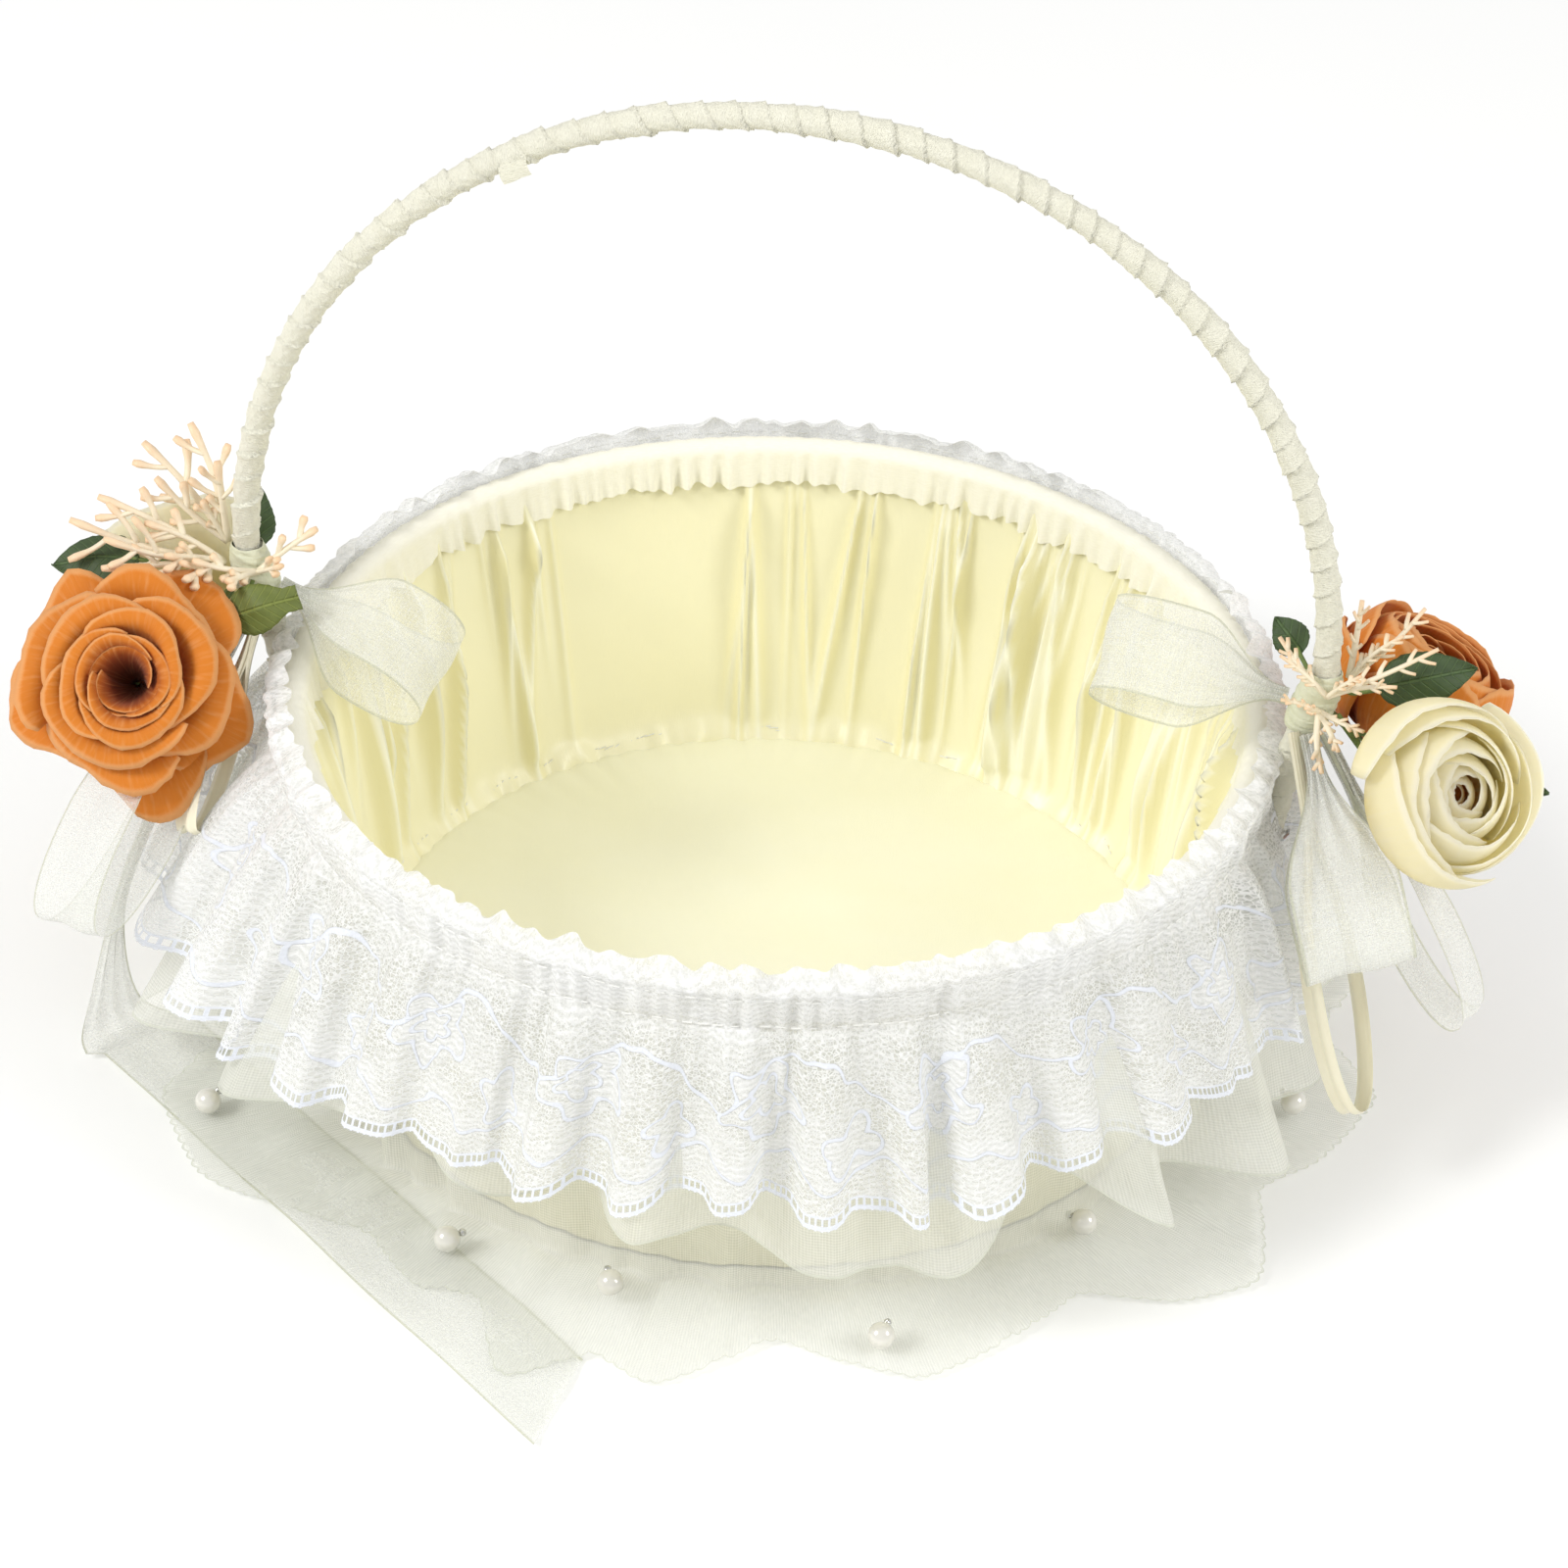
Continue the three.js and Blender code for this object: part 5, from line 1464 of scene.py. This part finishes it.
def spray(foot, tip, chance, clubs):
    """One stem with side twigs in the plane that faces the front; clubs makes their ends round and thick."""
    foot, tip = np.asarray(foot, float), np.asarray(tip, float)
    length = np.linalg.norm(tip - foot)
    way = (tip - foot) / length
    across = unit(np.cross(way, VIEWED))
    stem = bent_line(foot, tip, across * chance.uniform(-0.06, 0.06) * length)
    stem_radii = np.linspace(1.0, 0.8, 12) if clubs else np.linspace(0.85, 0.55, 12)
    if clubs:
        stem_radii[-3:] = (1.0, 1.25, 0.9)
    patches = [tube_patch(stem, stem_radii, tone=(0.0, 1.0), squash=0.7)]
    shares = (0.42, 0.58, 0.74) if clubs else (0.3, 0.42, 0.54, 0.66, 0.78, 0.88)
    for number, share in enumerate(shares):
        start = stem[int(share * 11)]
        sign = 1 if number % 2 else -1
        reach = (0.30 if clubs else 0.15) * length * chance.uniform(0.8, 1.2)
        slant = chance.uniform(0.7, 1.0)
        end = start + (way * 1.0 + across * sign * slant) / math.hypot(1, slant) * reach
        end = end + np.array(VIEWED) * chance.uniform(-1.5, 1.5)
        line = bent_line(start, end, way * -0.08 * reach, 9)
        radii = np.linspace(0.8, 0.75, 9) if clubs else np.linspace(0.65, 0.45, 9)
        if clubs:
            radii[-4:] = (0.85, 1.1, 1.2, 0.85)
        patches.append(tube_patch(line, radii, tone=(share * 0.6, 1.0), squash=0.7))
    return patches


def sprig(name, side, tips, tape_place, seed, clubs):
    """One moulded piece: a stem from the same place on the tape to each tip."""
    chance = np.random.default_rng(seed)
    foot = on_tape(side, *tape_place)
    patches = [patch for tip in tips for patch in spray(foot, tip, chance, clubs)]
    piece = patches_mesh(f"{name}_spray", patches, sprig_plastic)
    fit(piece, "twig", name)


LEFT_SPRIGS = (
    (
        "left_back_sprig", ((-139, 13, 132), (-150, 12, 126), (-131, 6, 127), (-145, 4, 122), (-134, 3, 118)),
        (-25, 108), 101,
    ),
    (
        "left_side_sprig",
        (
            (-162.7, -6, 114.5), (-151.5, -16, 117), (-144, -9, 118), (-151.5, -19, 111), (-138, -14, 113),
            (-133, -17, 109), (-157, -2, 119),
        ), (25, 106), 102,
    ),
    (
        "left_front_sprig", ((-106.4, 0, 116), (-112, -11, 112), (-132, -13, 112), (-124, -14, 108)),
        (120, 106), 103,
    ),
)
RIGHT_SPRIGS = (
    ("right_back_sprig", ((143, 8, 124), (129, 10, 123), (136, 4, 116), (139, 2, 120)), (-25, 107), 104),
    (
        "right_side_sprig", ((147, 0, 119), (113, -7, 117), (112, 2, 116), (131, -10, 116), (139, -8, 113)),
        (75, 107), 105,
    ),
    (
        "right_front_sprig",
        ((125, -17, 94), (133, -12, 103), (114, -7, 105.5), (128, -15, 99), (120, -13, 108)), (80, 103), 106,
    ),
)
for side, clubs, sprigs in ((-1, True, LEFT_SPRIGS), (1, False, RIGHT_SPRIGS)):
    for name, tips, tape_place, seed in sprigs:
        sprig(name, side, tips, tape_place, seed, clubs)


# The ribbons: loops of sheer organza ribbon with woven edges and narrow satin loops, each pinched
# under the tape, and one organza tail that falls beside the skirt and lies out over the floor.

ORGANZA_RIBBON = 25.0
SATIN_RIBBON = 6.0
SIDE_RIBBON = 12.0


def organza_ribbon_finish(name, width):
    """Sheer ribbon: fine crossed threads, a sparkle where they meet and a woven edge on both sides."""
    finish = Finish(name)
    across, down = finish.along_cloth()
    warp = finish.grain(across * 3.2, down * 0.15, 0.0, 1.0)
    weft = finish.grain(across * 0.2, down * 3.2, 5.0, 1.0)
    sparkle = finish.grain(across * 1.4, down * 2.6, 2.0).step(0.52, 0.70)
    threads = (warp.step(0.35, 0.68) + weft.step(0.40, 0.70)) * 0.5
    selvedge = abs(across - width / 2).step(width / 2 - 0.9, width / 2 - 0.4)
    alpha = (threads * 0.30 + sparkle * 0.26 + 0.46).most(selvedge * 0.9)
    plain = finish.blend(sparkle, (0.92, 0.93, 0.87), (1.0, 1.0, 0.98))
    colour = finish.blend(selvedge, plain, (0.68, 0.69, 0.56))
    return finish.surface(
        colour, 0.35, alpha=alpha, height=threads + sparkle, relief=0.1, glow=0.3, Sheen_Weight=0.4,
    )


ribbon_organza = organza_ribbon_finish("organza_ribbon", ORGANZA_RIBBON)
WIDE = (ORGANZA_RIBBON, ribbon_organza, "organza")
NARROW = (SIDE_RIBBON, organza_ribbon_finish("narrow_organza_ribbon", SIDE_RIBBON), "organza")
SATIN = (SATIN_RIBBON, satin_finish("satin_ribbon", (0.80, 0.73, 0.52), (0.93, 0.90, 0.72), 0.3), "satin")


def smooth_step(value, start, end):
    """0 before start and 1 past end, with a smooth change between."""
    share = np.clip((value - start) / (end - start), 0, 1)
    return share * share * (3 - 2 * share)


def ribbon_mesh(name, line, width_ways, width, shares, finish, cut_back=0.0):
    """A strip along a line. shares draws its width in where it is pinched, and folds it there."""
    down_ways = unit(np.gradient(line, axis=0))
    normals = unit(np.cross(down_ways, width_ways))
    across = np.linspace(-0.5, 0.5, 25)[None, :, None]
    shares = shares[:, None, None]
    folds = np.cos(across * TURN * 3.5) * (1 - shares) * 1.4 + 0.35 * np.sin(across * 9) * shares
    points = line[:, None] + width_ways[:, None] * across * width * shares + normals[:, None] * folds
    lengths = np.concatenate([[0], np.cumsum(np.linalg.norm(np.diff(line, axis=0), axis=1))])
    near_end = smooth_step(lengths, lengths[-1] - 4 * cut_back - 1, lengths[-1])
    cut = cut_back * (across + 0.5) * near_end[:, None, None]
    points = points - down_ways[:, None] * cut
    cloth = np.stack(np.broadcast_arrays((across[..., 0] + 0.5) * width, lengths[:, None] - cut[..., 0]), -1)
    piece = patches_mesh(name, [(points, cloth, cloth)], finish, closed=False)
    return piece, lengths[-1]


LOOP_STEPS = 72


def ribbon_loop(name, side, tip, across, height, neck, tape_place, kind):
    """A loop from the tape to its tip and back. Its width lies across, and it is drawn in over the neck."""
    width, finish, slot = kind
    start = on_tape(side, *tape_place)
    way = np.array(tip, float) - start
    length = np.linalg.norm(way)
    way = way / length
    level = np.array(across, float)
    level = unit(level - way * (level @ way))
    over = np.cross(level, way)
    angle = np.linspace(0, TURN, LOOP_STEPS)
    reach = length * (1 - np.cos(angle)) / 2
    neck_length = neck * length
    swell = np.abs(np.sin(angle) * np.sin(angle / 2)) * smooth_step(reach, 0.4 * neck_length, length * 0.55)
    lift = np.where(angle < np.pi, -1, 1) * (0.4 + height / 2 * swell)
    line = start + way * reach[:, None] + over * lift[:, None]
    shares = 0.16 + 0.84 * smooth_step(reach, neck_length * 0.3, neck_length + 0.45 * (length - neck_length))
    sway = 0.05 * np.sin(angle * 1.5 + tip[0])
    ways = unit(level + way * sway[:, None])
    piece, ribbon_length = ribbon_mesh(f"{name}_ribbon", line, ways, width, shares, finish)
    fit(piece, slot, name)
    if width > SATIN_RIBBON:
        width * MM
        "left_wound_tape" if side < 0 else "right_wound_tape"


for loop in (
    ("left_organza_loop_upper", -1, (-76, -8, 85), (0.55, 0.82, 0.15), 22, 0.2, (165, 101), WIDE),
    ("left_organza_loop_lower", -1, (-150, -62, 42), (0.75, -0.1, 0.6), 18, 0.45, (45, 96.5), WIDE),
    ("left_satin_loop", -1, (-126, -45, 60), (0.85, -0.35, 0.4), 10, 0.3, (100, 96.5), SATIN),
    ("right_organza_loop_upper", 1, (73, 3, 108), (0, 0.87, 0.49), 13, 0.15, (180, 102), WIDE),
    ("right_organza_loop_lower", 1, (139, -42, 60), (1, 0.2, 0.1), 14, 0.4, (80, 96.5), WIDE),
    ("right_organza_side_loop", 1, (163, -30, 42), (0.3, 0.9, 0), 16, 0.45, (45, 96.5), NARROW),
    ("right_satin_loop", 1, (141, -50, 27), (0.7, -0.6, 0.4), 16, 0.45, (110, 96.5), SATIN),
):
    ribbon_loop(*loop)


def flowing_line(points, shares):
    """A smooth line through points, at shares of its way along."""
    count = len(points) - 1
    padded = np.concatenate([[2 * points[0] - points[1]], points, [2 * points[-1] - points[-2]]])
    number = np.minimum((shares * count).astype(int), count - 1)
    t = (shares * count - number)[:, None]
    a, b, c, d = (padded[number + k] for k in range(4))
    return b + 0.5 * t * (c - a + t * (2 * a - 5 * b + 4 * c - d + t * (3 * (b - c) + d - a)))


TAIL_END = np.array([-12.0, -156.0, 0.8])
TAIL_LANDING = np.array([-138.0, -46.0, 0.9])
TAIL_CUT_BACK = 16.0
FALL_STEPS = 40
FLOOR_STEPS = 50
fall_points = np.array([
    on_tape(-1, 72, 95.5), (-130, -15, 76), (-139, -26, 54), (-146, -37, 32), (-147, -45, 8),
    (-142, -47.5, 1.4),
])
fall_share = np.linspace(0, 1, FALL_STEPS)
fall_line = flowing_line(fall_points, fall_share)
floor_share = shares_down(FLOOR_STEPS)[1:]
floor_line = TAIL_LANDING + (TAIL_END - TAIL_LANDING) * floor_share
floor_line[:, 2] += 0.5 * (1 + np.sin(floor_share[:, 0] * 17)) * np.sin(np.pi * floor_share[:, 0])
tail_line = np.concatenate([fall_line, [TAIL_LANDING], floor_line])
tail_way = unit(TAIL_END - TAIL_LANDING)
tail_side = np.array([-tail_way[1], tail_way[0], 0.0])
tail_shares = np.concatenate([
    0.12 + 0.88 * smooth_step(np.arange(FALL_STEPS), 22, FALL_STEPS), np.ones(FLOOR_STEPS),
])
tail_ways = np.tile(tail_side, (len(tail_line), 1))
tail_ways[:FALL_STEPS] = unit(
    tail_ways[:FALL_STEPS] + np.array([0, 0, 0.15]) * (1 - fall_share)[:, None],
)
tail, tail_length = ribbon_mesh(
    "left_organza_tail_ribbon", tail_line, tail_ways, ORGANZA_RIBBON, tail_shares, ribbon_organza,
    TAIL_CUT_BACK,
)
fit(tail, "organza", "left_organza_tail")


low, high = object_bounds()
